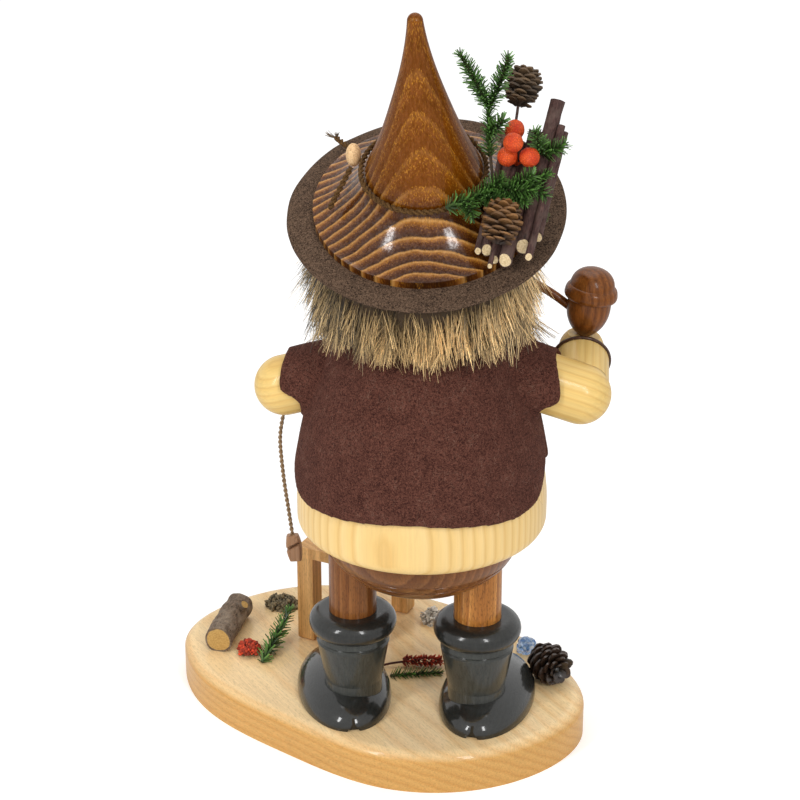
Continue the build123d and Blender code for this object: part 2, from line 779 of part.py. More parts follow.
# Cones: a turned core of stepped rows, notched into scales that stand in staggered rings
def make_cone(plane, length, radius, rows, scales):
    row_height = length / (rows + cone_crown)
    side = Plane(plane.origin, x_dir=plane.x_dir, z_dir=-plane.y_dir)
    reaches = [radius * sqrt(sin(pi * (row + cone_swell) / (rows + 1))) for row in range(rows)]
    with BuildPart() as cone:
        with BuildSketch(side):
            with BuildLine():
                steps = [(0, 0)]
                for row, reach in enumerate(reaches):
                    steps.append((reach * cone_step, row * row_height + cone_lip))
                    steps.append((reach, (row + 1) * row_height))
                Polyline(*steps, (0, length), close=True)
            make_face()
        revolve(axis=Axis(plane.origin, plane.z_dir))
        for row, reach in enumerate(reaches):
            with BuildSketch(plane.offset(row * row_height + cone_lip)):
                with PolarLocations(reach, scales, start_angle=180 / scales * (row % 2)):
                    RegularPolygon(cone_notch * reach, 3, rotation=180)
            extrude(amount=row_height, mode=Mode.SUBTRACT)
    return cone.part


# Sprigs: a thin stem with flat needles that fan out to both sides and along a chosen upward way
def make_sprig(bare_routes, routes, upward, length, name):
    needles = []
    stems = [tube(route, sprig_stem_radius, name) for route in bare_routes + routes]
    for route in routes:
        for start, end in zip(route, route[1:]):
            way = Vector(*end) - Vector(*start)
            steps = max(1, round(way.length / needle_pitch))
            across = way.cross(upward).normalized()
            rise = across.cross(way).normalized()
            for step in range(steps):
                root = Vector(*start) + way * ((step + 0.5) / steps)
                for angle in needle_fan:
                    out = rise * cos(radians(angle)) + across * sin(radians(angle))
                    lean = way.normalized() + out * needle_lean
                    blade = Box(
                        needle_thickness, needle_width, length, align=(Align.CENTER, Align.CENTER, Align.MIN)
                    )
                    needles.append(Plane(root, x_dir=out.cross(way).cross(lean), z_dir=lean).location * blade)
    with BuildPart() as sprig:
        add(stems)
        add(needles)
    return sprig.part


# Bouquet on the hat: cut twigs side by side on a bed of moss, with cones, berries and sprigs on top
twig_axis = (on_hat(*twig_way) - on_hat(0, 0, 0)).normalized()
bundle_across = hat_plane.x_dir - twig_axis * hat_plane.x_dir.dot(twig_axis)
bundle = Plane(on_hat(*bundle_place), x_dir=bundle_across, z_dir=twig_axis)


def make_twig(across, height, start, radius, length):
    with BuildPart() as twig:
        with BuildSketch(bundle.offset(start)):
            with Locations((across, height)):
                Circle(radius)
        extrude(amount=length, taper=twig_taper)
        middle = bundle.from_local_coords((across, height, start + radius * tan(radians(twig_cut_slant))))
        slant = Plane(middle, x_dir=bundle.x_dir, z_dir=bundle.z_dir).rotated((twig_cut_slant, 0, 0))
        split(bisect_by=slant, keep=Keep.TOP)
    return twig.part


with BuildPart() as twig_bundle:
    for sizes in twigs:
        add(make_twig(*sizes))
finish(twig_bundle.part, "twig_bundle")

bed_ball = pebble(Plane(on_hat(*bed_place), x_dir=hat_plane.x_dir, z_dir=hat_plane.z_dir), bed_half_sizes)
bed_top = Plane(bundle.origin, x_dir=bundle.x_dir, z_dir=bundle.y_dir)
with BuildPart() as moss_bed:
    add(bed_ball)
    split(bisect_by=bed_top, keep=Keep.BOTTOM)
    add(Location(hat_plane.z_dir * glue_gap) * hat.part, mode=Mode.SUBTRACT)
    add(hat_brim.part, mode=Mode.SUBTRACT)
moss = moss_bed.solids().sort_by(SortBy.VOLUME)[-1]
finish(moss, "moss_bed")

lower_cone_base = bundle.from_local_coords(Vector(*lower_cone_place))
upper_cone_base = bundle.from_local_coords(Vector(*upper_cone_place))
lower_cone_plane = Plane(lower_cone_base, x_dir=bundle.x_dir, z_dir=bundle.z_dir)
upper_cone_plane = Plane(upper_cone_base, x_dir=bundle.x_dir, z_dir=bundle.z_dir)
cone_stalk_start = bundle.from_local_coords(Vector(*cone_stalk_root))
finish(
    make_cone(lower_cone_plane, lower_cone_length, lower_cone_radius, cone_rows, cone_scales), "lower_cone"
)
with BuildPart() as upper_cone:
    add(make_cone(upper_cone_plane, upper_cone_length, upper_cone_radius, cone_rows, cone_scales))
    add(rod(cone_stalk_start, upper_cone_base, cone_stalk_radius, upper_cone_radius / 2))
finish(upper_cone.part, "upper_cone")

with BuildPart() as berries:
    for place in berry_places:
        root = on_hat(*berry_root)
        wire = on_hat(*place) - root
        with BuildSketch(Plane(root, z_dir=wire)):
            Circle(wire_radius)
        extrude(amount=wire.length)
    with Locations([on_hat(*place) for place in berry_places]):
        Sphere(berry_radius)
finish(berries.part, "berries")


def hat_route(points):
    return [tuple(on_hat(*point)) for point in points]


bundle_up = bundle.y_dir
tall_routes = [hat_route(points) for points in tall_sprig_routes]
tall_stem = hat_route(tall_sprig_stem)
finish(make_sprig([tall_stem], tall_routes, bundle_up, needle_length, "tall sprig"), "tall_sprig")
finish(make_sprig([], [hat_route(small_sprig_route)], bundle_up, needle_length, "small sprig"), "small_sprig")
finish(make_sprig([], [hat_route(band_sprig_route)], bundle_up, needle_length, "band sprig"), "band_sprig")

# Pipe: an acorn-shaped bowl standing in the right hand, and a bent stem to the mouth
bowl_plane = Plane(bowl_foot, x_dir=(bowl_lean[2], 0, -bowl_lean[0]), z_dir=bowl_axis)
with BuildPart() as pipe_bowl:
    with BuildSketch(Plane(bowl_foot, x_dir=bowl_plane.x_dir, z_dir=-bowl_plane.y_dir)):
        with BuildLine():
            Line((0, 0), (bowl_tip_radius, 0))
            Spline(
                (bowl_tip_radius, 0), (bowl_cup_radius, bowl_cap_height * bowl_swell),
                (bowl_cup_radius, bowl_cap_height), tangents=[(1, 0.6), (0, 1)],
            )
            Line((bowl_cup_radius, bowl_cap_height), (bowl_cap_radius - bowl_lip, bowl_cap_height))
            Spline(
                (bowl_cap_radius - bowl_lip, bowl_cap_height),
                (bowl_cap_radius, bowl_cap_height + bowl_lip_rise),
                (bowl_dome_radius, bowl_cap_height + bowl_ring_height),
                tangents=[(1, 0.6), (-1, 0.5)],
            )
            Spline(
                (bowl_dome_radius, bowl_cap_height + bowl_ring_height),
                (bowl_dome_radius * bowl_crown_share, bowl_height - bowl_crown),
                (0, bowl_height),
                tangents=[(-0.1, 1), (-1, 0)],
            )
            Line((0, bowl_height), (0, 0))
        make_face()
    revolve(axis=Axis(bowl_foot, bowl_axis))
finish(pipe_bowl.part, "pipe_bowl")

stem_start = bowl_foot + bowl_axis * stem_height
stem_bends = [(x, y, mouth_height + rise) for x, y, rise in stem_points]
stem_route = [tuple(stem_start), *stem_bends, (-stem_radius, -head_radius - stem_radius, mouth_height)]
stem_tube = tube(stem_route, stem_radius, "pipe stem")
with BuildPart() as pipe_stem:
    add(stem_tube)
    add(pipe_bowl.part, mode=Mode.SUBTRACT)
finish(pipe_stem.part, "pipe_stem")

# Hanging cord with a small carved whistle
cord_top = left_hand_centre - Vector(0, 0, hand_radius + cord_gap)
cord_route = [tuple(cord_top), *cord_points]
finish(tube(cord_route, cord_diameter / 2, "pendant cord"), "pendant_cord")
whistle_top = Plane(Vector(*cord_route[-1]), z_dir=Vector(*cord_route[-2]) - Vector(*cord_route[-1]))
whistle_end_width = whistle_width - 2 * whistle_end_inset
whistle_end_depth = whistle_depth - 2 * whistle_end_inset
with BuildPart() as whistle:
    with BuildSketch(whistle_top):
        RectangleRounded(whistle_end_width, whistle_end_depth, whistle_round)
    with BuildSketch(whistle_top.offset(-whistle_length * whistle_middle)):
        RectangleRounded(whistle_width, whistle_depth, whistle_round)
    with BuildSketch(whistle_top.offset(-whistle_length)):
        RectangleRounded(whistle_end_width, whistle_end_depth, whistle_round)
    loft()
    slot = whistle_top.offset(-whistle_length * whistle_slot_place).rotated((0, whistle_slot_turn, 0))
    with BuildSketch(slot):
        with Locations((0, whistle_depth / 2)):
            Rectangle(2 * whistle_width, whistle_depth)
    extrude(amount=whistle_slot, mode=Mode.SUBTRACT)
finish(whistle.part, "whistle")

# Stool: four square legs with rounded feet under a plain board
stool_floor = Plane((stool_centre[0], stool_centre[1], base_top)).rotated((0, 0, stool_turn))
seat_bottom = stool_height - stool_seat_thickness
with BuildPart() as stool_legs:
    with BuildSketch(stool_floor):
        with GridLocations(stool_leg_spread[0], stool_leg_spread[1], 2, 2):
            Rectangle(stool_leg_side, stool_leg_side)
    extrude(amount=seat_bottom)
    fillet(stool_legs.edges().group_by(Axis.Z)[0], stool_foot_round)
finish(stool_legs.part, "stool_legs")
with BuildPart() as stool_seat:
    with BuildSketch(stool_floor.offset(seat_bottom)):
        RectangleRounded(
            stool_leg_spread[0] + stool_leg_side, stool_leg_spread[1] + stool_leg_side, stool_foot_round
        )
    extrude(amount=stool_seat_thickness)
finish(stool_seat.part, "stool_seat")

# Trimmings glued on the slab
slab_top = Plane.XY.offset(base_top)
log_axis_height = base_top + log_radius - log_flat
log_plane = Plane(
    (log_start[0], log_start[1], log_axis_height), x_dir=(0, 0, 1),
    z_dir=(-sin(radians(log_turn)), -cos(radians(log_turn)), 0),
)
with BuildPart() as log:
    with BuildSketch(log_plane):
        Circle(log_radius)
    extrude(amount=log_length)
    stub_root = log_plane.from_local_coords((0, 0, log_length * stub_share))
    with BuildSketch(Plane(stub_root, z_dir=stub_way)):
        Circle(stub_radius)
    extrude(amount=log_radius + stub_length)
    split(bisect_by=slab_top, keep=Keep.TOP)
finish(log.part, "log")


def tuft(place, half_sizes):
    with BuildPart() as clump:
        add(pebble(Plane((place[0], place[1], base_top)), half_sizes))
        split(bisect_by=slab_top, keep=Keep.TOP)
    return clump.part


finish(tuft(lichen_place, lichen_half_sizes), "lichen_tuft")
finish(tuft(pale_tuft_place, pale_tuft_half_sizes), "pale_tuft")

upright = Vector(0, 0, 1)
finish(make_sprig([], [ground_sprig_route], upright, needle_length, "ground sprig"), "ground_sprig")

with BuildPart() as ground_flower:
    with BuildSketch(slab_top):
        with Locations(flower_place):
            Circle(flower_stalk_radius)
    extrude(amount=flower_height)
    with BuildSketch(slab_top.offset(flower_height)):
        with Locations(flower_place):
            Circle(flower_head_radius)
            with PolarLocations(flower_head_radius, flower_petals):
                Circle(flower_petal_radius)
    extrude(amount=flower_head_height, taper=flower_taper)
finish(ground_flower.part, "ground_flower")

finish(make_sprig([], [spike_sprig_route], upright, spike_needle_length, "spike sprig"), "spike_sprig")

spike_way = Vector(*spike_end) - Vector(*spike_start)
spike_stalk = tube(spike_stalk_route, spike_stalk_radius, "spike stalk")
spike_plane = Plane(Vector(*spike_start), z_dir=spike_way)
with BuildPart() as spike_flower:
    add(make_cone(spike_plane, spike_way.length, spike_radius, spike_rows, spike_scales))
    add(spike_stalk)
finish(spike_flower.part, "spike_flower")

ground_cone_axis = Vector(cos(radians(ground_cone_turn)), sin(radians(ground_cone_turn)), 0)
ground_cone_middle = Vector(*ground_cone_place, base_top + ground_cone_radius)
ground_cone_base = ground_cone_middle - ground_cone_axis * ground_cone_length / 2
ground_cone_plane = Plane(ground_cone_base, z_dir=ground_cone_axis)
finish(
    make_cone(ground_cone_plane, ground_cone_length, ground_cone_radius, ground_cone_rows, cone_scales),
    "ground_cone",
)

with BuildPart() as blue_stone:
    with BuildSketch(Plane((stone_place[0], stone_place[1], base_top)).rotated((0, 0, stone_turn))):
        RegularPolygon(stone_radius, 5)
    extrude(amount=stone_height, taper=stone_taper)
    chamfer(blue_stone.faces().sort_by(Axis.Z)[-1].edges(), stone_chamfer)
finish(blue_stone.part, "blue_stone")
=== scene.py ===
# %% [markdown]
# # Dressing a turned wooden incense smoker
# The solids of this gnome come from CAD, in metres, each already in its place. In this lesson they get
# their finishes, and everything soft or grown on the real figure, such as felt, fur, cord, twigs, fir and
# moss, is modelled anew over its plain solid.

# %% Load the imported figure
from math import asin, atan2, cos, degrees, pi, radians, sin, sqrt

import bpy
import numpy as np
from mathutils import Matrix, Vector, noise


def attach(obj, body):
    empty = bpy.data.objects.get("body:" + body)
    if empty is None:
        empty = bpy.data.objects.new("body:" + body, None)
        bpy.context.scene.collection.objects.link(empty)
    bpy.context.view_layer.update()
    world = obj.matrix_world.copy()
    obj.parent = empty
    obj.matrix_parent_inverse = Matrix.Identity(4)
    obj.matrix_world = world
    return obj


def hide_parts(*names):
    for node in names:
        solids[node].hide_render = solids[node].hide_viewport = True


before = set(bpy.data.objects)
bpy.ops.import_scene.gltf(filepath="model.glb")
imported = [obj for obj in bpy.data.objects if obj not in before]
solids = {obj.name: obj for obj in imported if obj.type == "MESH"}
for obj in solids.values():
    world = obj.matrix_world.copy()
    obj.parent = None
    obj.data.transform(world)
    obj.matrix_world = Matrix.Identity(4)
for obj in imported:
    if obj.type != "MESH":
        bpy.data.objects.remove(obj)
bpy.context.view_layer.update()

mm = 0.001

# %% [markdown]
# ## The camera
# The figure is seen from behind and above, with a long lens from nearly a metre away, so that the hat and
# the slab both keep their true shape. The frame is square, and the lens is worked out for that.

# %% Camera
camera = bpy.data.objects.new("camera", bpy.data.cameras.new("camera"))
bpy.context.scene.collection.objects.link(camera)
camera.data.sensor_width = 36
camera.data.lens = 103.5
camera.location = (-0.0962, 0.8583, 0.5373)
aim = Vector((0.0092, 0.0, 0.1612)) - camera.location
camera.rotation_euler = aim.to_track_quat("-Z", "Y").to_euler()
bpy.context.scene.camera = camera
bpy.context.scene.view_settings.view_transform = "Standard"
print("camera distance", round(aim.length, 3))

# %% [markdown]
# ## A short way to write node trees
# Every finish below is a small tree of shader nodes. The first helper adds one node, sets its values and
# links what is handed to it as a socket, so that a tree reads like a sentence. A group is how one effect,
# such as the rings of wood, is built once and shared by many finishes.


# %% Node helpers
def add_node(tree, kind, inputs=None, **settings):
    made = tree.nodes.new("ShaderNode" + kind)
    for key, value in settings.items():
        setattr(made, key, value)
    for key, value in (inputs or {}).items():
        if isinstance(value, bpy.types.NodeSocket):
            tree.links.new(value, made.inputs[key])
        else:
            made.inputs[key].default_value = value
    return made


def start_group(name, outputs, **values):
    group = bpy.data.node_groups.new(name, "ShaderNodeTree")
    group.interface.new_socket("Place", in_out="INPUT", socket_type="NodeSocketVector")
    for label, value in values.items():
        socket = group.interface.new_socket(label, in_out="INPUT", socket_type="NodeSocketFloat")
        socket.default_value = value
    for label in outputs:
        group.interface.new_socket(label, in_out="OUTPUT", socket_type="NodeSocketFloat")
    return group, group.nodes.new("NodeGroupInput").outputs, group.nodes.new("NodeGroupOutput")


def shared(group, **inputs):
    return add_node(inputs["Place"].id_data, "Group", inputs, node_tree=group).outputs


def start_finish(name, **values):
    finish = bpy.data.materials.new(name)
    finish.use_nodes = True
    shader = finish.node_tree.nodes["Principled BSDF"]
    for key, value in values.items():
        shader.inputs[key.replace("_", " ")].default_value = value
    return finish, shader


def link(node, **sockets):
    for key, socket in sockets.items():
        node.id_data.links.new(socket, node.inputs[key.replace("_", " ")])


print("node helpers ready")

# %% [markdown]
# ## Words for colour, noise and dents
# A socket knows the tree that it belongs to, so these helpers need only the socket that they start from.
# Noise mostly stays between 0.3 and 0.7, so that part of it is spread when a value varies. Places come from
# the object's own coordinates, turned and scaled to millimetres where a pattern needs that.


# %% Colour, noise and dents
def ramp(factor, stops):
    made = add_node(factor.id_data, "ValToRGB", {"Fac": factor})
    for index, (place, colour) in enumerate(stops):
        stop = made.color_ramp.elements[index] if index < 2 else made.color_ramp.elements.new(place)
        stop.position = place
        stop.color = (*colour, 1.0)
    return made.outputs["Color"]


def spread(value, low, high, to_low=0.0, to_high=1.0):
    inputs = {"Value": value, "From Min": low, "From Max": high, "To Min": to_low, "To Max": to_high}
    return add_node(value.id_data, "MapRange", inputs).outputs["Result"]


def vary(noise_value, to_low, to_high):
    return spread(noise_value, 0.3, 0.7, to_low, to_high)


def mix_colour(factor, first, second, blend="MIX"):
    if not isinstance(second, bpy.types.NodeSocket):
        second = (*second, 1.0)
    inputs = {0: factor, 6: first, 7: second}
    return add_node(first.id_data, "Mix", inputs, data_type="RGBA", blend_type=blend).outputs[2]


def calc(operation, first, second=0.0):
    return add_node(first.id_data, "Math", {0: first, 1: second}, operation=operation).outputs[0]


def times(first, second):
    return calc("MULTIPLY", first, second)


def vector(operation, first, **inputs):
    return add_node(first.id_data, "VectorMath", {0: first, **inputs}, operation=operation).outputs


def stretched(place, *factors):
    return add_node(place.id_data, "VectorMath", {0: place, 1: factors}, operation="MULTIPLY").outputs[0]


def mottle(place, scale, detail=2.0, **more):
    inputs = {"Vector": place, "Scale": scale, "Detail": detail, **more}
    return add_node(place.id_data, "TexNoise", inputs).outputs["Fac"]


def object_place(shader):
    return add_node(shader.id_data, "TexCoord").outputs["Object"]


def local_place(shader, location=(0, 0, 0), rotation=(0, 0, 0), scale=(mm, mm, mm)):
    inputs = {"Vector": object_place(shader), "Location": location, "Rotation": rotation, "Scale": scale}
    return add_node(shader.id_data, "Mapping", inputs, vector_type="TEXTURE").outputs[0]


def height_of(place):
    return add_node(place.id_data, "SeparateXYZ", {"Vector": place}).outputs["Z"]


def dented(shader, height, strength, depth):
    inputs = {"Height": height, "Strength": strength, "Distance": depth * mm}
    link(shader, Normal=add_node(shader.id_data, "Bump", inputs).outputs[0])


def speckled(name, stops, scale, dent=0.0, wave=0.0, **values):
    finish, shader = start_finish(name, **values)
    fine = mottle(object_place(shader), scale, 4.0, Distortion=wave)
    link(shader, Base_Color=ramp(fine, stops))
    if dent:
        dented(shader, fine, dent, 0.2)
    return finish


print("colour helpers ready")

# %% [markdown]
# ## Light and floor
# The picture has the even light of a product photo: two narrow soft boxes, one on each side of the camera,
# and a wide one above. What the camera sees of the surroundings is white, while the light that they give is
# half of that. The floor glows a little for the camera alone, so it is white too and keeps the shadow.


# %% Light and floor
def soft_box(name, place, size, power):
    bpy.ops.object.light_add(type="AREA", location=place)
    box = bpy.context.object
    box.name = name
    box.data.shape = "RECTANGLE"
    box.data.size, box.data.size_y = size
    box.data.energy = power
    box.rotation_euler = (Vector((0, 0, 0.15)) - box.location).to_track_quat("-Z", "Y").to_euler()


soft_box("left_box", (0.62, 0.78, 0.74), (0.15, 0.55), 4.85)
soft_box("right_box", (-0.51, 0.83, 0.77), (0.15, 0.55), 4.55)
soft_box("top_box", (0.0, -0.35, 1.15), (0.8, 0.8), 3.4)

sky = bpy.data.worlds.new("sky")
bpy.context.scene.world = sky
sky.use_nodes = True
rays = add_node(sky.node_tree, "LightPath").outputs
seen = calc("MAXIMUM", rays["Is Camera Ray"], rays["Is Glossy Ray"])
seen = calc("MAXIMUM", seen, rays["Is Transmission Ray"])
sky_node = sky.node_tree.nodes["Background"]
sky_node.inputs["Color"].default_value = (1, 1, 1, 1)
link(sky_node, Strength=spread(seen, 0.0, 1.0, 0.50, 1.0))

bpy.ops.object.select_all(action="DESELECT")
bpy.ops.mesh.primitive_plane_add(size=12)
floor = bpy.context.object
floor.name = "floor"
floor_finish, shader = start_finish("floor_white", Base_Color=(0.9, 0.9, 0.9, 1), Roughness=0.9,
                                    Specular_IOR_Level=0.0)
tree = floor_finish.node_tree
rays = add_node(tree, "LightPath").outputs
away = vector("LENGTH", object_place(shader))["Value"]
fill = times(rays["Is Camera Ray"], spread(away, 0.2, 1.2, 0.33, 0.52))
glow = add_node(tree, "Emission", {"Strength": fill})
lit = add_node(tree, "AddShader", {0: shader.outputs[0], 1: glow.outputs[0]})
link(tree.nodes["Material Output"], Surface=lit.outputs[0])
floor.data.materials.append(floor_finish)

# %% [markdown]
# ## Wood that is turned from a tree
# Nearly everything rigid here is wood, and its pattern has one cause: yearly rings round a pith. This
# group takes a place in millimetres, with the pith along Z, and puts out the ring's phase, the fine fibres
# and the pores. A turned cone that cuts through such rings gets its pointed arches by itself.

# %% Growth ring group
outputs = ["Ring", "Fibre", "Pores", "Patches"]
rings, given, out = start_group("growth_rings", outputs, Spacing=3.0, Wander=0.6)
reach = vector("LENGTH", stretched(given["Place"], 1, 1, 0))["Value"]
slow = stretched(given["Place"], 1, 1, 0.22)
long = stretched(given["Place"], 1, 1, 0.035)
stray = times(calc("SUBTRACT", mottle(slow, 0.045, 3.0), 0.5), given["Wander"])
phase = calc("ADD", calc("DIVIDE", reach, given["Spacing"]), stray)
link(out, Ring=calc("FRACT", phase), Fibre=mottle(long, 1.1, 4.0, Roughness=0.65),
     Pores=spread(mottle(slow, 2.3, 1.0), 0.54, 0.66), Patches=mottle(slow, 0.02))
print("group", rings.name, [item.name for item in rings.interface.items_tree])

# %% [markdown]
# ## One maker for all the woods
# A wood is then a pith's place and direction, a ring spacing, and the colours across one ring. Open pores
# take more stain, so they darken the colour and dent the surface a little. A clear lacquer is a coat. A tint
# multiplies the colour below a given height and fades out above it.


# %% Wood maker
def dress(finish, *names):
    for name in names:
        solids[name].data.materials.clear()
        solids[name].data.materials.append(finish)


def wood(name, nodes, pith, turn, spacing, wander, colours, pores=0.0, fibres=0.25, patches=0.2,
         rough=(0.3, 0.45), dent=0.2, coat=0.2, coat_rough=0.1, tint=None):
    finish, shader = start_finish(name, Coat_Weight=coat, Coat_Roughness=coat_rough, Specular_IOR_Level=0.12)
    turned = local_place(shader, pith, [radians(angle) for angle in turn])
    grain = shared(rings, Place=turned, Spacing=spacing, Wander=wander)
    colour = ramp(grain["Ring"], colours)
    shade = times(vary(grain["Fibre"], 1.0 - fibres, 1.0 + fibres),
                  vary(grain["Patches"], 1.0 - patches, 1.0 + patches))
    shade = times(shade, spread(grain["Pores"], 0.0, 1.0, 1.0, 1.0 - pores))
    if tint:
        heights, below = tint
        cast = ramp(spread(height_of(object_place(shader)), *heights), [(0.0, below), (1.0, (1.0, 1.0, 1.0))])
        colour = mix_colour(1.0, colour, cast, "MULTIPLY")
    link(shader, Base_Color=vector("SCALE", colour, Scale=shade)[0], Roughness=vary(grain["Fibre"], *rough))
    dented(shader, calc("SUBTRACT", times(grain["Fibre"], 0.3), grain["Pores"]), dent, 0.15)
    dress(finish, *nodes)


print("wood maker ready")

# %% [markdown]
# ## The hat's own frame
# The hat leans backwards by 25 degrees, and its cord, bead and bouquet lean with it. They are placed by
# their distance across, towards the viewer and up the hat's axis, and this matrix turns that into the
# figure's frame.

# %% Hat frame
tilt = radians(25)
hat_seat = 244.5
hat_frame = Matrix.Translation(Vector((-1.2, 0, hat_seat)) * mm) @ Matrix.Rotation(-tilt, 4, "X")


def on_hat(x, y, h):
    return hat_frame @ (Vector((x, y, h)) * mm)


def hat_route(*points):
    return [on_hat(*point) for point in points]


def plain_route(*points):
    return [Vector(point) * mm for point in points]


print("hat axis", [round(value, 3) for value in hat_frame.col[2][:3]])

# %% [markdown]
# ## The stained hat
# The hat is ash with a brown stain under gloss lacquer. Its dark bands hold the stain, and the bands between
# are full of short golden dashes. On the steep cone the bands blur, so their contrast fades with the height.
# Lacquer runs down before it dries, so its coat is thickest on the flared foot, and the grain breaks it up.

# %% Hat finish
hat_ash, shader = start_finish("hat_ash", Coat_Roughness=0.11, Specular_IOR_Level=0.05)
turned = local_place(shader, on_hat(-14, 110, 0), (-tilt, 0, 0))
grain = shared(rings, Place=turned, Spacing=4.4, Wander=1.3)
stain, gold = (0.036, 0.009, 0.001), (0.44, 0.18, 0.015)
bands = ramp(grain["Ring"], [(0.0, stain), (0.52, (0.095, 0.024, 0.002)), (0.74, (0.28, 0.105, 0.018)),
                             (0.88, (0.52, 0.26, 0.075)), (1.0, stain)])
height = height_of(turned)
lacquer = times(spread(height, 14.0, 30.0, 0.72, 0.22), spread(grain["Fibre"], 0.4, 0.6, 0.4, 1.35))
colour = mix_colour(spread(height, 17.0, 28.0, 0.0, 0.86), bands, (0.165, 0.045, 0.001))
dashes = times(grain["Pores"], spread(grain["Ring"], 0.25, 0.75, 0.12, 0.8))
colour = mix_colour(dashes, colour, gold)
tone = times(vary(grain["Fibre"], 0.72, 1.28), vary(grain["Patches"], 0.75, 1.2))
link(shader, Base_Color=vector("SCALE", colour, Scale=tone)[0], Roughness=vary(grain["Fibre"], 0.25, 0.42),
     Coat_Weight=lacquer)
dented(shader, calc("SUBTRACT", grain["Fibre"], times(grain["Pores"], 0.5)), 0.6, 0.2)
dress(hat_ash, "hat")
print("hat finish ready")

# %% [markdown]
# ## Finishes of the other turned pieces
# Body, arms and head are a pale close-grained wood. An arm's grain runs along it, so its pith is turned that
# way. Legs and trousers are stained brown, boots black, and the slab is oiled beech with its grain aslant.


# %% Turned wood finishes
def year(early, middle, late, stops=(0.6, 0.88)):
    return [(0.0, early), (stops[0], middle), (stops[1], late), (1.0, early)]


upright, lying = (0, 0, 0), (90, 0, 0)
pale = year((0.88, 0.60, 0.235), (0.92, 0.66, 0.29), (0.80, 0.51, 0.18))
close = dict(fibres=0.05, patches=0.06, dent=0.05)
wood("torso_maple", ["torso"], (0.02, 0.15, 0), upright, 4.0, 1.2, pale, rough=(0.3, 0.4), **close)
wood("head_maple", ["head", "nose"], (0.03, -0.09, 0), upright, 3.5, 1.0, pale, rough=(0.35, 0.45), **close)

sleeve = year((0.79, 0.53, 0.175), (0.82, 0.575, 0.21), (0.73, 0.465, 0.145))
right_elbow, left_elbow = (-64.5, -1, 167.5), (57, 0, 165.5)
for name, nodes, start, end, pith in (
        ("right_sleeve_maple", ["right_upper_arm"], (-34, 0, 177), right_elbow, (8, 30, 0)),
        ("right_forearm_maple", ["right_forearm", "right_hand"], right_elbow, (-63.5, -21, 173.5), (18, 22, 0)),
        ("left_sleeve_maple", ["left_upper_arm"], (34, 0, 172), left_elbow, (10, 26, 0)),
        ("left_forearm_maple", ["left_forearm", "left_hand"], left_elbow, (60, -17, 158.5), (20, 18, 0))):
    lean = (Vector(end) - Vector(start)).to_track_quat("Z", "Y").to_euler()
    side = lean.to_matrix() @ (Vector(pith) * mm)
    wood(name, nodes, Vector(start) * mm + side, [degrees(angle) for angle in lean], 3.2, 0.9, sleeve,
         fibres=0.07, patches=0.06, rough=(0.3, 0.42), dent=0.06)

brown = year((0.16, 0.052, 0.011), (0.21, 0.075, 0.017), (0.27, 0.105, 0.027), (0.55, 0.85))
light_brown = [(stop, (2.05 * r, 2.3 * g, 2.1 * b)) for stop, (r, g, b) in brown]
leg = dict(fibres=0.3, rough=(0.25, 0.42), dent=0.15, coat=0.3)
wood("trousers_stain", ["trousers"], (0.03, 0.12, 0), upright, 4.0, 1.4, brown, pores=0.2, fibres=0.22,
     rough=(0.25, 0.4), dent=0.15, coat=0.35)
wood("left_leg_stain", ["left_leg"], (0.01, 0.05, 0), upright, 2.6, 1.4, brown, pores=0.3, **leg)
wood("right_leg_stain", ["right_leg"], (-0.04, 0.05, 0), upright, 2.6, 1.4, light_brown, pores=0.4, **leg)
wood("ring_stain", ["left_cuff", "right_cuff"], (0, 0.05, 0.1), lying, 2.0, 1.0,
     [(0.0, (0.05, 0.022, 0.012)), (1.0, (0.09, 0.04, 0.02))], coat=0.3)

black = [(0.0, (0.014, 0.0145, 0.0125)), (0.6, (0.017, 0.0175, 0.0155)), (1.0, (0.015, 0.0155, 0.0135))]
polished = dict(pores=0.3, patches=0.08, dent=0.4)
wood("boot_black", ["left_boot_shaft", "right_boot_shaft"], (0.02, 0.08, 0), upright, 2.4, 1.2, black,
     coat=0.75, coat_rough=0.13, tint=((54.5 * mm, 57 * mm), (2.3, 2.35, 2.3)), **polished)
wood("shoe_black", ["left_shoe", "right_shoe"], (0.05, 0.3, 0.06), lying, 2.4, 1.2, black, fibres=0.2,
     coat=0.95, **polished)

beech = year((0.88, 0.63, 0.33), (0.92, 0.69, 0.38), (0.84, 0.57, 0.28), (0.5, 0.85))
wood("slab_beech", ["base_plate"], (0.10, 0.0, -0.16), (-90, 0, 38), 3.8, 1.6, beech, pores=0.14, fibres=0.1,
     patches=0.06, rough=(0.3, 0.42), dent=0.06, coat=0.3, coat_rough=0.08,
     tint=((14.5 * mm, 17.9 * mm), (0.79, 0.60, 0.345)))
wood("stool_honey", ["stool_legs", "stool_seat"], (0.09, -0.02, 0), upright, 3.0, 1.2,
     [(0.0, (0.59, 0.31, 0.105)), (0.6, (0.75, 0.43, 0.165)), (1.0, (0.53, 0.265, 0.085))],
     pores=0.2, fibres=0.2)
wood("pipe_walnut", ["pipe_bowl", "pipe_stem"], (-0.04, 0.02, 0), (5, 0, 0), 2.8, 1.4,
     [(0.0, (0.145, 0.041, 0.006)), (0.6, (0.26, 0.085, 0.016)), (1.0, (0.175, 0.052, 0.008))],
     pores=0.25, fibres=0.3, coat=0.25, coat_rough=0.15)
wood("whistle_pearwood", ["whistle"], (0.05, -0.02, 0), upright, 2.0, 1.0,
     [(0.0, (0.36, 0.19, 0.10)), (1.0, (0.45, 0.26, 0.15))], fibres=0.15, coat=0.1)
print("wood finishes", len([material for material in bpy.data.materials if material.users]))

# %% [markdown]
# ## Metal and paint
# The ember plate inside is tarnished brass, and the eyes are drops of black gloss paint.

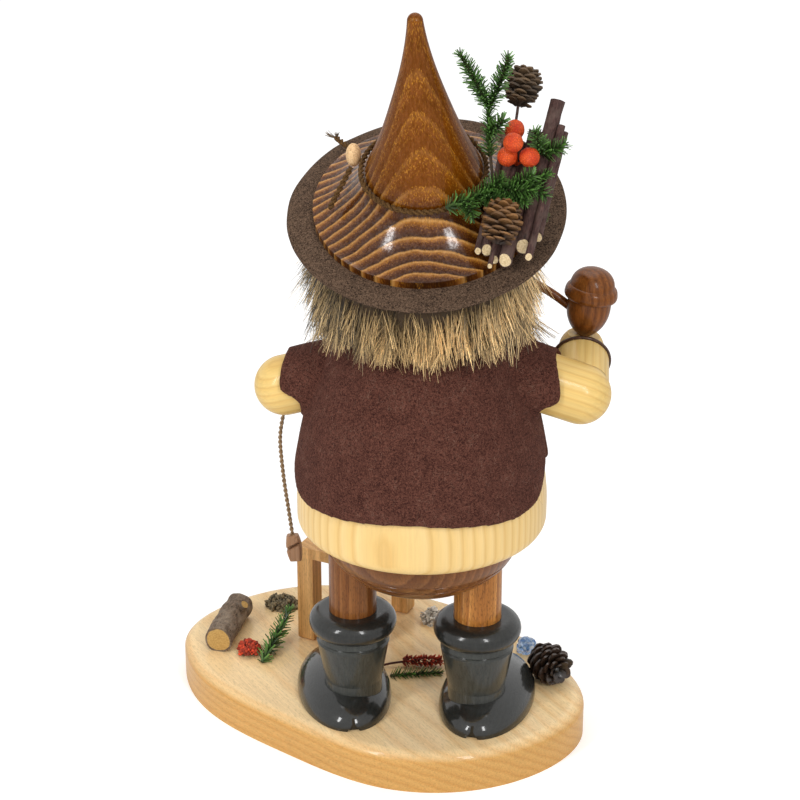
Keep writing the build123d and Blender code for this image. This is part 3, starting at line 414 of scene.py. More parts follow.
# %% Metal and paint
brass, shader = start_finish("plate_brass", Metallic=1.0)
spots = mottle(object_place(shader), 260.0)
link(shader, Base_Color=ramp(spots, [(0.3, (0.50, 0.32, 0.10)), (0.7, (0.74, 0.52, 0.21))]),
     Roughness=vary(spots, 0.3, 0.5))
dress(brass, "ember_plate")
eye_black, shader = start_finish("eye_black", Base_Color=(0.008, 0.007, 0.006, 1), Roughness=0.08)
dress(eye_black, "eyes")
print("metal and paint ready")

# %% [markdown]
# ## Ways to model by hand
# Primitives are shaped in edit mode, where operators act on what is selected, so these helpers pick one
# object, or some of its edges or faces by a test, before the next operator runs. The last one gives a
# finished piece its material and the body that it rides on, and hides the solids that it stands for.


# %% Modelling helpers
def primitive(add, **sizes):
    bpy.ops.object.select_all(action="DESELECT")
    add(**sizes)
    return bpy.context.object


def take(piece):
    if bpy.context.mode != "OBJECT":
        bpy.ops.object.mode_set(mode="OBJECT")
    bpy.ops.object.select_all(action="DESELECT")
    piece.select_set(True)
    bpy.context.view_layer.objects.active = piece


def edit(piece, kind="VERT", test=None):
    take(piece)
    bpy.ops.object.mode_set(mode="EDIT")
    bpy.ops.mesh.select_mode(type=kind)
    bpy.ops.mesh.select_all(action="SELECT" if test is None else "DESELECT")
    if test is not None:
        bpy.ops.object.mode_set(mode="OBJECT")
        for part in piece.data.edges if kind == "EDGE" else piece.data.polygons:
            part.select = test([piece.data.vertices[i].co for i in part.vertices])
        bpy.ops.object.mode_set(mode="EDIT")


def done(piece, name, smooth=None):
    take(piece)
    piece.name = name
    piece.data.name = name
    if smooth is not None:
        bpy.ops.object.shade_smooth_by_angle(angle=radians(smooth))
    return piece


def fresh_piece(name, corners, edges=(), faces=()):
    mesh = bpy.data.meshes.new(name)
    mesh.from_pydata(corners, edges, faces)
    piece = bpy.data.objects.new(name, mesh)
    bpy.context.scene.collection.objects.link(piece)
    return piece


def apply_modifiers(piece):
    take(piece)
    for modifier in list(piece.modifiers):
        bpy.ops.object.modifier_apply(modifier=modifier.name)


def copy_solid(node, name):
    piece = bpy.data.objects.new(name, solids[node].data.copy())
    piece.data.materials.clear()
    bpy.context.scene.collection.objects.link(piece)
    edit(piece)
    bpy.ops.mesh.remove_doubles(threshold=0.01 * mm)
    return done(piece, name)


def remould(piece, voxel, passes):
    remesh = piece.modifiers.new("remesh", "REMESH")
    remesh.mode = "VOXEL"
    remesh.voxel_size = voxel
    remesh.use_smooth_shade = True
    soften = piece.modifiers.new("soften", "SMOOTH")
    soften.factor = 0.5
    soften.iterations = passes
    apply_modifiers(piece)


def swell(piece, amount):
    spots = np.array([vertex.co for vertex in piece.data.vertices])
    ways = np.array([normal.vector for normal in piece.data.vertex_normals])
    lifts = np.array([amount(Vector(spot)) for spot in spots])
    piece.data.vertices.foreach_set("co", (spots + ways * lifts[:, None]).ravel())
    piece.data.update()


def keep_values(piece, label, values):
    layer = piece.data.attributes.new(label, "FLOAT", "POINT")
    layer.data.foreach_set("value", np.asarray(values, dtype=np.float32))


def join(name, pieces, smooth=None):
    take(pieces[0])
    for piece in pieces:
        piece.select_set(True)
    bpy.ops.object.join()
    return done(pieces[0], name, smooth)


def settle(piece, finishes, body, slot, *nodes):
    for finish in finishes:
        piece.data.materials.append(finish)
    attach(piece, body)
    if nodes:
        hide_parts(*nodes)
    print(piece.name, "triangles", sum(len(face.vertices) - 2 for face in piece.data.polygons))


chance = np.random.default_rng(24)
print("modelling helpers ready")

# %% [markdown]
# ## Many copies of one small shape
# Fur, needles and cone scales are one shape set hundreds of times. The shape is modelled once and copied
# into one mesh. Each copy keeps a tone of its own, and a value that runs from its root to its tip, which
# the finish reads as attributes.


# %% Copies
def place_at(root, way, face, size):
    z = Vector(way).normalized()
    x = Vector(face).cross(z).normalized()
    turn = Matrix((x, z.cross(x), z)).transposed()
    return Matrix.Translation(root) @ (turn @ Matrix.Diagonal(size)).to_4x4()


def strew(name, models, places, tones=None, keep_models=False):
    if tones is None:
        tones = chance.uniform(0, 1, len(places))
    corners, faces, root_to_tip, tone = [], [], [], []
    count = 0
    for number, model in enumerate(models):
        local = np.array([vertex.co for vertex in model.data.vertices])
        shape = [tuple(face.vertices) for face in model.data.polygons]
        rise = (local[:, 2] - local[:, 2].min()) / np.ptp(local[:, 2])
        for place, shade in list(zip(places, tones))[number::len(models)]:
            spot = np.array(place)
            corners.append(local @ spot[:3, :3].T + spot[:3, 3])
            faces.extend(tuple(i + count for i in face) for face in shape)
            root_to_tip.append(rise)
            tone.append(np.full(len(local), shade))
            count += len(local)
    piece = fresh_piece(name, np.concatenate(corners).tolist(), [], faces)
    keep_values(piece, "along", np.concatenate(root_to_tip))
    keep_values(piece, "tone", np.concatenate(tone))
    if not keep_models:
        for model in models:
            bpy.data.objects.remove(model)
    return piece


def strand(name, sides, cuts, bend, thick, taper=0.3):
    model = primitive(bpy.ops.mesh.primitive_cone_add, vertices=sides, radius1=thick, radius2=thick * taper,
                      depth=1, end_fill_type="NGON")
    model.data.transform(Matrix.Translation((0, 0, 0.5)))
    edit(model, "EDGE", lambda ends: abs(ends[0].z - ends[1].z) > 0.5)
    bpy.ops.mesh.subdivide(number_cuts=cuts)
    done(model, name, 60)
    for vertex in model.data.vertices:
        vertex.co.y += bend * vertex.co.z ** 2
    return model


print("copies ready")

# %% [markdown]
# ## The line of a cord
# A cord is a smooth curve through the air. Its route is a NURBS spline, whose points pull the line without
# bending it sharply, and Blender gives back points on it when the curve has no thickness. Even steps along
# them carry the plies of a twisted cord, the stems of the sprigs and the needles on them.


# %% Smooth lines
def length_along(points):
    return np.concatenate([[0], np.cumsum(np.linalg.norm(np.diff(points, axis=0), axis=1))])


def smooth_line(route, step):
    curve = bpy.data.curves.new("route", "CURVE")
    curve.dimensions = "3D"
    spline = curve.splines.new("NURBS")
    spline.points.add(len(route) - 1)
    for point, place in zip(spline.points, route):
        point.co = (*place, 1)
    spline.order_u = 3
    spline.use_endpoint_u = True
    spline.resolution_u = 24
    holder = bpy.data.objects.new("route", curve)
    bpy.context.scene.collection.objects.link(holder)
    mesh = bpy.data.meshes.new_from_object(holder)
    points = np.array([vertex.co for vertex in mesh.vertices])
    bpy.data.objects.remove(holder)
    run = length_along(points)
    even = np.linspace(0, run[-1], max(2, round(run[-1] / step) + 1))
    return np.stack([np.interp(even, run, points[:, axis]) for axis in range(3)], axis=1)


def line_frames(points, closed=False):
    ahead = np.roll(points, -1, axis=0) - np.roll(points, 1, axis=0)
    if not closed:
        ahead[0], ahead[-1] = points[1] - points[0], points[-1] - points[-2]
    ahead /= np.linalg.norm(ahead, axis=1)[:, None]
    side = np.cross(ahead[0], (0.31, 0.87, 0.39))
    frames = []
    for way in ahead:
        side = side - way * side.dot(way)
        side /= np.linalg.norm(side)
        frames.append((way, side, np.cross(way, side)))
    return frames


def twisted(name, points, radius, plies, pitch, ply_share=0.56, sides=8, closed=False):
    frames = line_frames(points, closed)
    round_way = np.linspace(0, 2 * pi, sides, endpoint=False)
    corners, faces, tone = [], [], []
    for ply in range(plies):
        first = len(corners)
        for centre, (way, side, up), length in zip(points, frames, length_along(points)):
            angle = 2 * pi * (length / pitch + ply / plies)
            reach = radius * (1 - ply_share) if plies > 1 else 0.0
            middle = centre + reach * (cos(angle) * side + sin(angle) * up)
            for turn in round_way:
                corners.append(middle + radius * ply_share * (cos(turn) * side + sin(turn) * up))
                tone.append(ply / plies + 0.15 * sin(length * 900))
        rows = len(points)
        for row in range(rows if closed else rows - 1):
            low, high = first + row * sides, first + (row + 1) % rows * sides
            for k in range(sides):
                faces.append((low + k, low + (k + 1) % sides, high + (k + 1) % sides, high + k))
        if not closed:
            faces.append(tuple(first + k for k in reversed(range(sides))))
            faces.append(tuple(first + (rows - 1) * sides + k for k in range(sides)))
    piece = fresh_piece(name, [tuple(corner) for corner in corners], [], faces)
    keep_values(piece, "tone", tone)
    return done(piece, name, 60)


def stem(name, line, radius, sides=8):
    return twisted(name, line, radius, plies=1, pitch=1.0, ply_share=1.0, sides=sides)


print("smooth lines ready")

# %% [markdown]
# ## Finishes that read the copies
# Fibres, needles and scales change from root to tip and differ from one to the next. One maker mixes two
# colours along each copy, and darkens or lightens it by its tone. A little noise breaks up what is left.


# %% Finish for copies
def grown(name, root, tip, tones, rough=0.6, bend=(0.0, 1.0), coat=0.0):
    finish, shader = start_finish(name, Roughness=rough, Coat_Weight=coat)
    rise, tone = (add_node(shader.id_data, "Attribute", attribute_name=label).outputs["Fac"]
                  for label in ("along", "tone"))
    grit = mottle(object_place(shader), 900.0, 3.0)
    colour = ramp(spread(rise, *bend), [(0.0, root), (1.0, tip)])
    shade = times(spread(tone, 0.0, 1.0, 1 - tones, 1 + tones), vary(grit, 0.8, 1.2))
    link(shader, Base_Color=vector("SCALE", colour, Scale=shade)[0],
         Roughness=vary(grit, rough - 0.1, min(rough + 0.1, 1.0)))
    dented(shader, grit, 0.2, 0.2)
    return finish


print("finish for copies ready")

# %% [markdown]
# ## The hanging jute cord
# A two-ply jute cord hangs from the left hand and carries a small carved whistle. Its route repeats the
# points of the solid cord. Two plies twist round the smooth line, and the noise is drawn out along them.

# %% Jute cord
cord_route = plain_route((61.3, -24.39, 145.66), (62.9, -24.6, 138.5), (64.2, -24.9, 130.0), (63.6, -25.1, 119.0),
                         (62.5, -24.9, 107.5), (60.8, -24.5, 95.5), (59.4, -24.3, 84.0))
cord_line = smooth_line(cord_route, 0.35 * mm)
jute_cord = twisted("jute_cord", cord_line, 0.95 * mm, plies=2, pitch=4.6 * mm)
jute, shader = start_finish("jute", Roughness=0.9, Sheen_Weight=0.2)
inputs = {"Vector": object_place(shader), "Rotation": (0.5, 0, 0), "Scale": (1, 1, 0.2)}
fine = mottle(add_node(shader.id_data, "Mapping", inputs).outputs[0], 3200.0, 4.0)
link(shader, Base_Color=ramp(fine, [(0.3, (0.13, 0.075, 0.035)), (0.7, (0.50, 0.34, 0.19))]))
dented(shader, fine, 0.8, 0.2)
settle(jute_cord, [jute], "pendant", "cord", "pendant_cord")

# %% [markdown]
# ## Felt
# Brim and vest are pressed wool felt: no weave, a short matted nap, and a few threads that caught. The
# group gives cloudy patches, the nap and those threads, and each felt mixes its colours from them.

# %% Felt group and finishes
felt_group, given, out = start_group("felt_nap", ["Patches", "Nap", "Threads"])
patch = mottle(given["Place"], 0.16, 4.0)
drift = add_node(felt_group, "TexNoise", {"Vector": given["Place"], "Scale": 0.5, "Detail": 2.0}).outputs["Color"]
bent = add_node(felt_group, "VectorMath", {0: drift, 1: (3, 3, 3), 2: given["Place"]}, operation="MULTIPLY_ADD")
edge = add_node(felt_group, "TexVoronoi", {"Vector": bent.outputs[0], "Scale": 0.42}, feature="DISTANCE_TO_EDGE")
line = spread(edge.outputs["Distance"], 0.0, 0.035, 1.0, 0.0)
link(out, Patches=patch, Nap=mottle(given["Place"], 1.6, 3.0, Roughness=0.7, Distortion=1.2),
     Threads=times(line, spread(patch, 0.5, 0.62)))


def felt(name, dark, light, thread, threads):
    finish, shader = start_finish(name, Roughness=0.95, Sheen_Weight=0.15, Sheen_Roughness=0.6,
                                  Specular_IOR_Level=0.15, Sheen_Tint=(*light, 1))
    wool = shared(felt_group, Place=local_place(shader))
    both = calc("ADD", times(wool["Nap"], 0.9), times(wool["Patches"], 0.1))
    colour = ramp(both, [(0.41, dark), (0.59, light)])
    colour = mix_colour(times(wool["Threads"], threads), colour, thread)
    link(shader, Base_Color=colour, Roughness=vary(wool["Nap"], 1.0, 0.85))
    dented(shader, calc("ADD", wool["Nap"], times(wool["Threads"], 0.5)), 0.7, 0.5)
    return finish


vest_felt = felt("vest_felt", (0.026, 0.007, 0.005), (0.150, 0.056, 0.038), (0.30, 0.17, 0.12), threads=0.5)
brim_felt = felt("brim_felt", (0.014, 0.008, 0.005), (0.170, 0.105, 0.067), (0.22, 0.15, 0.10), threads=0.4)
print("felts", vest_felt.name, brim_felt.name)

# %% [markdown]
# ## The felt vest
# The vest is one cut of thick felt, put over the head and glued on. Its solid already lies on body and
# arms, so a copy of it is remeshed into an even skin, softened, and made a little uneven, as felt that was
# cut by hand is. The lower corners of back and front panels are cut round, so the hem climbs towards the
# side seams, and the felt keeps to the body's girth as it climbs.

# %% Vest
vest = copy_solid("vest", "felt_vest")
remould(vest, voxel=0.75 * mm, passes=4)
heights = np.linspace(110, 188, 40) * mm
girths = [solids["torso"].ray_cast((0, 0.2, height), (0, -1, 0))[1].y for height in heights]
hem, corner_rise, corner_reach = 126.5 * mm, 28 * mm, 34 * mm
corner_start, side_seam = 51, 90
for vertex in vest.data.vertices:
    reach = vertex.co.xy.length
    share = (degrees(asin(abs(vertex.co.x) / reach)) - corner_start) / (side_seam - corner_start)
    climb = corner_rise * (1 - sqrt(1 - min(1.0, max(0.0, share)) ** 2))
    climb *= min(1.0, max(0.0, 1 - (vertex.co.z - hem) / corner_reach))
    higher = vertex.co.z + climb
    drawn_in = np.interp(higher, heights, girths) - np.interp(vertex.co.z, heights, girths)
    vertex.co.xy *= (reach + drawn_in) / reach
    vertex.co.z = higher
vest.data.update()
print("torso girth in mm", round(max(girths) * 1000, 1))
swell(vest, lambda spot: 0.35 * mm * noise.noise(spot * 90) + 0.1 * mm)
settle(done(vest, "felt_vest", 180), [vest_felt], "upper_body", "vest_felt", "vest")

# %% [markdown]
# ## Loose wool hairs
# Wool hairs stand off both felts. Each starts on a face picked by chance and lies nearly flat on it. The
# faces are handed in as a list, because a merged mesh, such as the brim's below, numbers its faces anew on
# each run, and has to be put in order first.


# %% Loose wool hairs
def wool_hairs(name, faces, count, length):
    models = [strand(f"wool_{bend}", sides=3, cuts=3, bend=bend, thick=0.011, taper=0.6) for bend in (0.35, -0.5)]
    places = []
    for number in chance.choice(len(faces), count, replace=False):
        face = faces[int(number)]
        lay = Vector(chance.normal(size=3)).normalized()
        way = (lay - face.normal * lay.dot(face.normal)).normalized() + face.normal * chance.uniform(0.0, 0.3)
        size = length * chance.uniform(0.5, 1.3)
        places.append(place_at(face.center - face.normal * 0.1 * mm, way, face.normal, [size] * 3))
    return strew(name, models, places)


wool = grown("wool_hair", (0.16, 0.08, 0.06), (0.30, 0.18, 0.13), 0.5, rough=0.8)
settle(wool_hairs("vest_hairs", vest.data.polygons, count=1500, length=2.8 * mm), [wool], "upper_body", "vest_felt")

# %% [markdown]
# ## The felt brim
# The brim is a disc of the same felt under the hat. Its rounded edge is drawn as a profile and spun round
# the hat's axis. Then the disc sags a little outside the wooden foot, most at the far left.

# %% Brim
rim = [(10.6, -2.4), (30.0, -2.4), (44.0, -2.4), (47.0, -2.4), (50.0, -2.4), (53.0, -2.4), (54.6, -2.25),
       (55.4, -1.6), (55.5, -0.9), (55.0, -0.2), (53.6, 0.0), (50.0, 0.0), (47.0, 0.0), (44.0, 0.0),
       (30.0, 0.0), (10.6, 0.0)]
foot_edge, overhang, lowest = 44.5, 11, radians(-48)
brim = fresh_piece("brim", [(reach * mm, 0, rise * mm) for reach, rise in rim],
                   [(i, (i + 1) % len(rim)) for i in range(len(rim))])
edit(brim)
bpy.ops.mesh.spin(steps=160, angle=2 * pi, center=(0, 0, 0), axis=(0, 0, 1))
bpy.ops.mesh.select_all(action="SELECT")
bpy.ops.mesh.remove_doubles(threshold=0.001 * mm)
bpy.ops.mesh.normals_make_consistent(inside=False)
done(brim, "felt_brim", 180)
for vertex in brim.data.vertices:
    reach = max(0.0, (vertex.co.xy.length / mm - foot_edge) / overhang)
    turn = atan2(vertex.co.y, vertex.co.x)
    sag = 0.5 + 2.4 * max(0.0, cos(turn - lowest)) ** 3
    sag += 0.5 * noise.noise((2 * cos(turn), 2 * sin(turn), 3.1))
    vertex.co.z -= sag * mm * reach ** 2
    vertex.co.xy *= 1 + 0.006 * reach * noise.noise((5 * cos(turn), 5 * sin(turn), 7.7))
brim.data.transform(hat_frame)
settle(brim, [brim_felt], "upper_body", "brim_felt", "hat_brim")
in_order = sorted(brim.data.polygons, key=lambda face: sorted(face.vertices))
settle(wool_hairs("brim_hairs", in_order, count=700, length=1.6 * mm), [wool], "upper_body", "brim_felt")

# %% [markdown]
# ## Fur for hair and beard
# Hair and beard are cut from long fur: dark woolly roots and pale straight tips that fall in locks. A dark
# skin, a shrunk copy of the solid, closes the gaps. Over it hang locks of a dozen thin strands, which start
# apart and end together. Each lock has its own length and flare, so that the lower edge is ragged. Painted
# shade lowers the fur's tone towards the sides of the head, most towards the left ear. Angles go round the
# head from its left, and heights are in millimetres.


# %% Fur
def fur_path(angle, rise, shape, out):
    reach = np.interp(rise, *shape) + out
    return Vector((reach * cos(angle), reach * sin(angle), rise)) * mm


def fur(name, middle, sweep, top, bottom, shape, locks, wild, length=24.0, strands=12):
    models = [strand(f"{name}_{bend}", sides=3, cuts=2, bend=bend, thick=0.0082) for bend in (0.05, -0.1, 0.2)]
    places, tones = [], []
    for _ in range(locks):
        angle = middle + sweep * chance.uniform(-0.5, 0.5)
        ceiling = top(angle)
        root = ceiling + 1.5 - (ceiling - bottom) * 0.75 * chance.uniform(0, 1) ** 2.6
        low = max(root - length * chance.uniform(0.7, 1.2), bottom + chance.normal(-0.5, 1.7))
        flare = min(5.0, chance.exponential(wild * (0.5 + 0.5 * cos(angle) ** 2))) - 1.0
        end_angle = angle + chance.normal(0, 0.11)
        shade = chance.uniform(0, 1)
        # painted shade: each lock's tone is lowered towards the sides of the head, and most towards its left
        painted_shade = 0.03 + 0.12 * abs(cos(angle)) + 0.32 * max(0.0, cos(angle))
        out = Vector((cos(angle), sin(angle), 0))
        for _ in range(strands):
            start_angle = angle + chance.normal(0, 0.045)
            rise = min(root + chance.normal(0, 2.0), top(start_angle) + 2.0)
            start = fur_path(start_angle, rise, shape, chance.uniform(-1.6, 0.4))
            end = fur_path(end_angle + chance.normal(0, 0.03), low + chance.normal(0, 1.6), shape,
                           flare + chance.normal(0, 1.0))
            places.append(place_at(start, end - start, out, [(end - start).length] * 3))
            tones.append(0.45 * shade + 0.55 * chance.uniform(-0.2, 1.2) - painted_shade)
    return strew(name, models, places, tones)


fur_finish = grown("fur_strand", (0.030, 0.014, 0.005), (0.84, 0.59, 0.28), 0.95, rough=0.5, bend=(0.1, 0.8))
under_finish = grown("fur_skin", (0.070, 0.040, 0.017), (0.075, 0.045, 0.02), 0.3, rough=0.9)
for node in ("hair", "beard"):
    skin_piece = copy_solid(node, node + "_skin")
    remould(skin_piece, voxel=1.2 * mm, passes=2)
    edit(skin_piece)
    bpy.ops.transform.shrink_fatten(value=-1.6 * mm)
    done(skin_piece, node + "_skin", 180)
    settle(skin_piece, [under_finish], "upper_body", "fur", node)


def under_brim(angle):
    return hat_seat + (-3.0 - 40.0 * sin(angle) * sin(tilt)) / cos(tilt)


hair_shape = ([193, 195, 203, 222, 256], [41.2, 41.9, 43.2, 42.0, 35.2])
hair = fur("hair_strands", middle=pi / 2, sweep=radians(234), top=under_brim, bottom=195.0,
           shape=hair_shape, locks=440, wild=1.9)
settle(hair, [fur_finish], "upper_body", "fur", "hair")
beard_shape = ([170, 172, 180, 190, 200, 206], [50.8, 51.6, 52.0, 47.0, 38.5, 35.0])
beard = fur("beard_strands", middle=-pi / 2, sweep=radians(119), top=lambda angle: 206.0,
            bottom=172.5, shape=beard_shape, locks=310, wild=1.2)
settle(beard, [fur_finish], "upper_body", "fur", "beard")

# %% [markdown]
# ## The hat's cord
# A thin dark cord of two plies lies in the crease of the hat. It is knotted through a flat bead, with one
# frayed end up and one loose end down. The ring is a circle in the hat's frame, and the ends are smooth
# lines from it.

# %% Hat cord
ring_reach, ring_height, ring_turns, cord_radius, frays = 24.45, 20.9, 30, 1.25 * mm, 46
ring_line = np.array([on_hat(ring_reach * cos(turn), ring_reach * sin(turn), ring_height)
                      for turn in np.linspace(0, 2 * pi, 420, endpoint=False)])
tail_line = smooth_line(hat_route((28.4, -11.9, 19.8), (33, -16, 16.5), (37.5, -21.5, 16)), 0.3 * mm)
end_line = smooth_line(hat_route((28.8, -1.5, 19.0), (33, 5, 13.2), (36, 13, 10)), 0.3 * mm)
ring_pitch = 2 * pi * ring_reach * mm / ring_turns
cords = [twisted("ring", ring_line, cord_radius, plies=2, pitch=ring_pitch, closed=True),
         twisted("tail", tail_line, cord_radius, plies=2, pitch=5.0 * mm),
         twisted("end", end_line, cord_radius, plies=2, pitch=5.0 * mm)]
cord_finish = speckled("hat_cord_wool", [(0.32, (0.036, 0.016, 0.004)), (0.68, (0.165, 0.085, 0.026))],
                       2200.0, dent=0.8, Roughness=0.85, Specular_IOR_Level=0.2)
settle(join("hat_cord_plies", cords, 60), [cord_finish], "upper_body", "hat_cord", "hat_cord")
models = [strand(f"fray_{bend}", sides=4, cuts=3, bend=bend, thick=0.035, taper=0.5) for bend in (0.2, -0.25)]
places = []
tail_way = Vector(tail_line[-1] - tail_line[-8]).normalized()
tail_side = tail_way.cross(hat_frame.col[2].xyz).normalized()
for number in range(frays):
    way = tail_way + tail_side * (0.6 if number % 2 else -0.5) + Vector(chance.normal(0, 0.14, 3))
    size = chance.uniform(3.0, 5.4) * mm
    places.append(place_at(tail_line[-3], way, hat_frame.col[2].xyz, [size] * 3))
fray = strew("cord_fray", models, places)
fray_finish = grown("fray_fibre", (0.05, 0.032, 0.016), (0.16, 0.105, 0.055), 0.4, rough=0.85)
settle(fray, [fray_finish], "upper_body", "hat_cord")

# %% [markdown]
# ## Bark, and sticks that wear it
# Twigs and log are natural sticks: bark with ridges along the stick, and a pale sawn end with a dark rim.
# A cylinder is cut into rings, its ends are inset to leave the rim of bark, and noise makes it uneven.

# %% Bark
bark_group, given, out = start_group("bark", ["Ridges", "Patches"])
ridges = mottle(stretched(given["Place"], 1, 1, 0.3), 1.3, 5.0, Roughness=0.65, Distortion=0.6)
link(out, Ridges=ridges, Patches=mottle(given["Place"], 0.22, 3.0))


def bark(name, way, dark, light, grey):
    finish, shader = start_finish(name, Roughness=0.8)
    turn = Vector(way).to_track_quat("Z", "Y").to_euler()
    crust = shared(bark_group, Place=local_place(shader, rotation=turn))
    colour = ramp(crust["Ridges"], [(0.34, dark), (0.66, light)])
    colour = mix_colour(spread(crust["Patches"], 0.45, 0.65, 0.0, 0.7), colour, grey)
    link(shader, Base_Color=colour, Roughness=vary(crust["Ridges"], 0.9, 0.6))
    dented(shader, crust["Ridges"], 0.8, 0.6)
    return finish


sawn_looks = dict(scale=1400.0, dent=0.5, Roughness=0.75)
sawn_twig = speckled("sawn_twig", [(0.3, (0.60, 0.42, 0.20)), (0.7, (0.90, 0.73, 0.45))], **sawn_looks)
sawn_log = speckled("sawn_log", [(0.3, (0.42, 0.235, 0.06)), (0.7, (0.60, 0.38, 0.12))], **sawn_looks)


def stick(name, radius, length, finishes, lumps, seed, sides=18, pitch=1.6 * mm, slant=0.0):
    piece = primitive(bpy.ops.mesh.primitive_cylinder_add, vertices=sides, radius=radius, depth=length,
                      end_fill_type="NGON")
    piece.data.transform(Matrix.Translation((0, 0, length / 2)))
    edit(piece, "EDGE", lambda ends: abs(ends[0].z - ends[1].z) > length / 2)
    bpy.ops.mesh.subdivide(number_cuts=max(4, round(length / pitch)))
    edit(piece, "FACE", lambda corners: len(corners) == sides)
    bpy.ops.mesh.inset(thickness=radius * 0.14, depth=0)
    done(piece, name, 50)
    for face in piece.data.polygons:
        face.material_index = 1 if len(face.vertices) == sides else 0
    for vertex in piece.data.vertices:
        bow = 0.25 * sin(vertex.co.z / length * 3.4 + seed) * radius
        uneven = 1 + lumps * noise.noise(vertex.co / radius * 0.9 + Vector((seed * 7.3, 0, 0)))
        uneven += 0.6 * lumps * noise.noise(vertex.co / radius * 2.3 + Vector((0, seed * 3.1, 0)))
        vertex.co.x = vertex.co.x * uneven + bow * 0.4
        vertex.co.y *= uneven
        if vertex.co.z < 0.1 * mm:
            vertex.co.z += slant * (vertex.co.y + radius)
    for finish in finishes:
        piece.data.materials.append(finish)
    return piece


print("stick maker ready")

# %% [markdown]
# ## Twigs on the hat
# Eight twigs, cut aslant, lie side by side on the hat's right flank, all along one direction, and the
# cones, berries and green are glued on them. The bundle's frame has its third axis along the twigs. A twig
# has a place across the bundle, a height, a start along it, a radius and a length, in millimetres.

# %% Twig bundle
twig_way = (hat_frame.to_3x3() @ Vector((-0.18, -0.82, 0.54))).normalized()
across = hat_frame.to_3x3() @ Vector((1, 0, 0))
across = (across - twig_way * across.dot(twig_way)).normalized()
bundle_up = twig_way.cross(across)
bundle_frame = Matrix((across, bundle_up, twig_way)).transposed().to_4x4()
bundle_frame.translation = on_hat(0, 38.5, 1.0)
twigs = [(-21.3, 1.4, 13, 1.4, 44), (-24.7, 2.25, 13.2, 2.25, 50), (-28.3, 1.6, 11, 1.6, 48),
         (-32.2, 2.7, 10.4, 2.7, 54), (-37.6, 2.9, 16.9, 2.9, 61), (-42.2, 2, 22.7, 2, 44),
         (-27.35, 3.85, 8.3, 1, 40), (-41.2, 5.2, 14.3, 1.5, 54)]
twig_bark = bark("twig_bark", twig_way, (0.026, 0.009, 0.007), (0.088, 0.034, 0.025), (0.100, 0.060, 0.046))


def in_bundle(x, y, z):
    return bundle_frame @ (Vector((x, y, z)) * mm)


sticks = []
for number, (x, height, start, radius, length) in enumerate(twigs):
    one = stick(f"twig_{number}", radius * mm, length * mm, [twig_bark, sawn_twig], lumps=0.16, seed=number + 1,
                pitch=max(1.6, 2 * radius) * mm, slant=0.9)
    one.data.transform(bundle_frame @ Matrix.Translation(Vector((x, height, start)) * mm))
    sticks.append(one)
settle(join("twigs", sticks), [], "upper_body", "bark", "twig_bundle")

# %% [markdown]
# ## The log
# The log on the slab is one thick stick with the stub of a branch. It lies a little flattened on the wood.

# %% Log on the slab
slab_top, log_radius, log_length = 18, 6.2, 34


def rest_on_slab(piece):
    for vertex in piece.data.vertices:
        vertex.co.z = max(vertex.co.z, (slab_top + 0.02) * mm)


log_turn = radians(8)
log_way = Vector((-sin(log_turn), -cos(log_turn), 0))
log_start = Vector((96.6, -34.0, slab_top + log_radius - 0.4)) * mm
log_bark = bark("log_bark", log_way, (0.040, 0.025, 0.015), (0.235, 0.155, 0.095), (0.29, 0.225, 0.16))
log = stick("log", log_radius * mm, log_length * mm, [log_bark, sawn_log], lumps=0.10, seed=5, sides=40,
            pitch=0.8 * mm)
log.data.transform(place_at(log_start, log_way, (0, 0, 1), (1, 1, 1)))
stub = stick("stub", 2.2 * mm, 8.6 * mm, [log_bark, sawn_log], lumps=0.14, seed=9)
stub_root = log_start + log_way * log_length * 0.72 * mm
stub.data.transform(place_at(stub_root, (-0.6, 0.2, 0.77), (0, 1, 0), (1, 1, 1)))
log = join("log_with_stub", [log, stub])
rest_on_slab(log)
settle(log, [], "stand", "bark", "log")

# %% [markdown]
# ## Cones
# An alder or larch cone is a spindle with woody scales in a spiral, each turned by the golden angle against
# the one before. One scale is a small grid, rounded, bowed and given a thickness. Copies of it stand on a
# spindle, wide open in the middle and closed at the tip.


# %% Cone scales
def cone_scale(name, bow, flare):
    model = primitive(bpy.ops.mesh.primitive_grid_add, x_subdivisions=4, y_subdivisions=4, size=1)
    for vertex in model.data.vertices:
        side, rise = vertex.co.x * 2, vertex.co.y + 0.5
        width = 0.30 + 0.70 * sin(min(1.0, rise * 1.25) * pi / 2)
        tip = rise * (1 - 0.28 * side * side * rise)
        vertex.co = (side * 0.5 * width, flare * rise ** 3 - bow * side * side, tip)
    wall = model.modifiers.new("wall", "SOLIDIFY")
    wall.thickness = 0.12
    wall.offset = 0
    apply_modifiers(model)
    return done(model, name, 50)


def cone(name, foot, axis, length, radius, scales, opening):
    models = [cone_scale("scale_a", bow=0.10, flare=0.16), cone_scale("scale_b", bow=0.16, flare=0.26)]
    golden_angle = pi * (3 - sqrt(5))
    x = axis.orthogonal().normalized()
    y = axis.cross(x)
    places = []
    for number in range(scales):
        rise = (number + 0.5) / scales
        girth = radius * sin(pi * (0.20 + 0.70 * rise)) ** 0.7
        turn = number * golden_angle
        out = x * cos(turn) + y * sin(turn)
        lean = opening * (1 - 0.55 * rise ** 2) * chance.uniform(0.88, 1.12)
        way = axis * cos(lean) + out * sin(lean)
        long = girth * 0.74 / sin(max(lean, 0.62))
        root = foot + axis * length * (0.02 + 0.78 * rise) + out * girth * 0.26
        places.append(place_at(root, way, out, (girth * 0.82, long, long)))
    piece = strew(name, models, places)
    core = primitive(bpy.ops.mesh.primitive_uv_sphere_add, segments=16, ring_count=10, radius=1)
    core_size = (radius * 0.42, radius * 0.42, length * 0.44)
    core.data.transform(place_at(foot + axis * length * 0.46, axis, x, core_size))
    for label, value in (("along", 0.0), ("tone", 0.3)):
        keep_values(core, label, np.full(len(core.data.vertices), value))
    return join(name, [piece, core], 50)


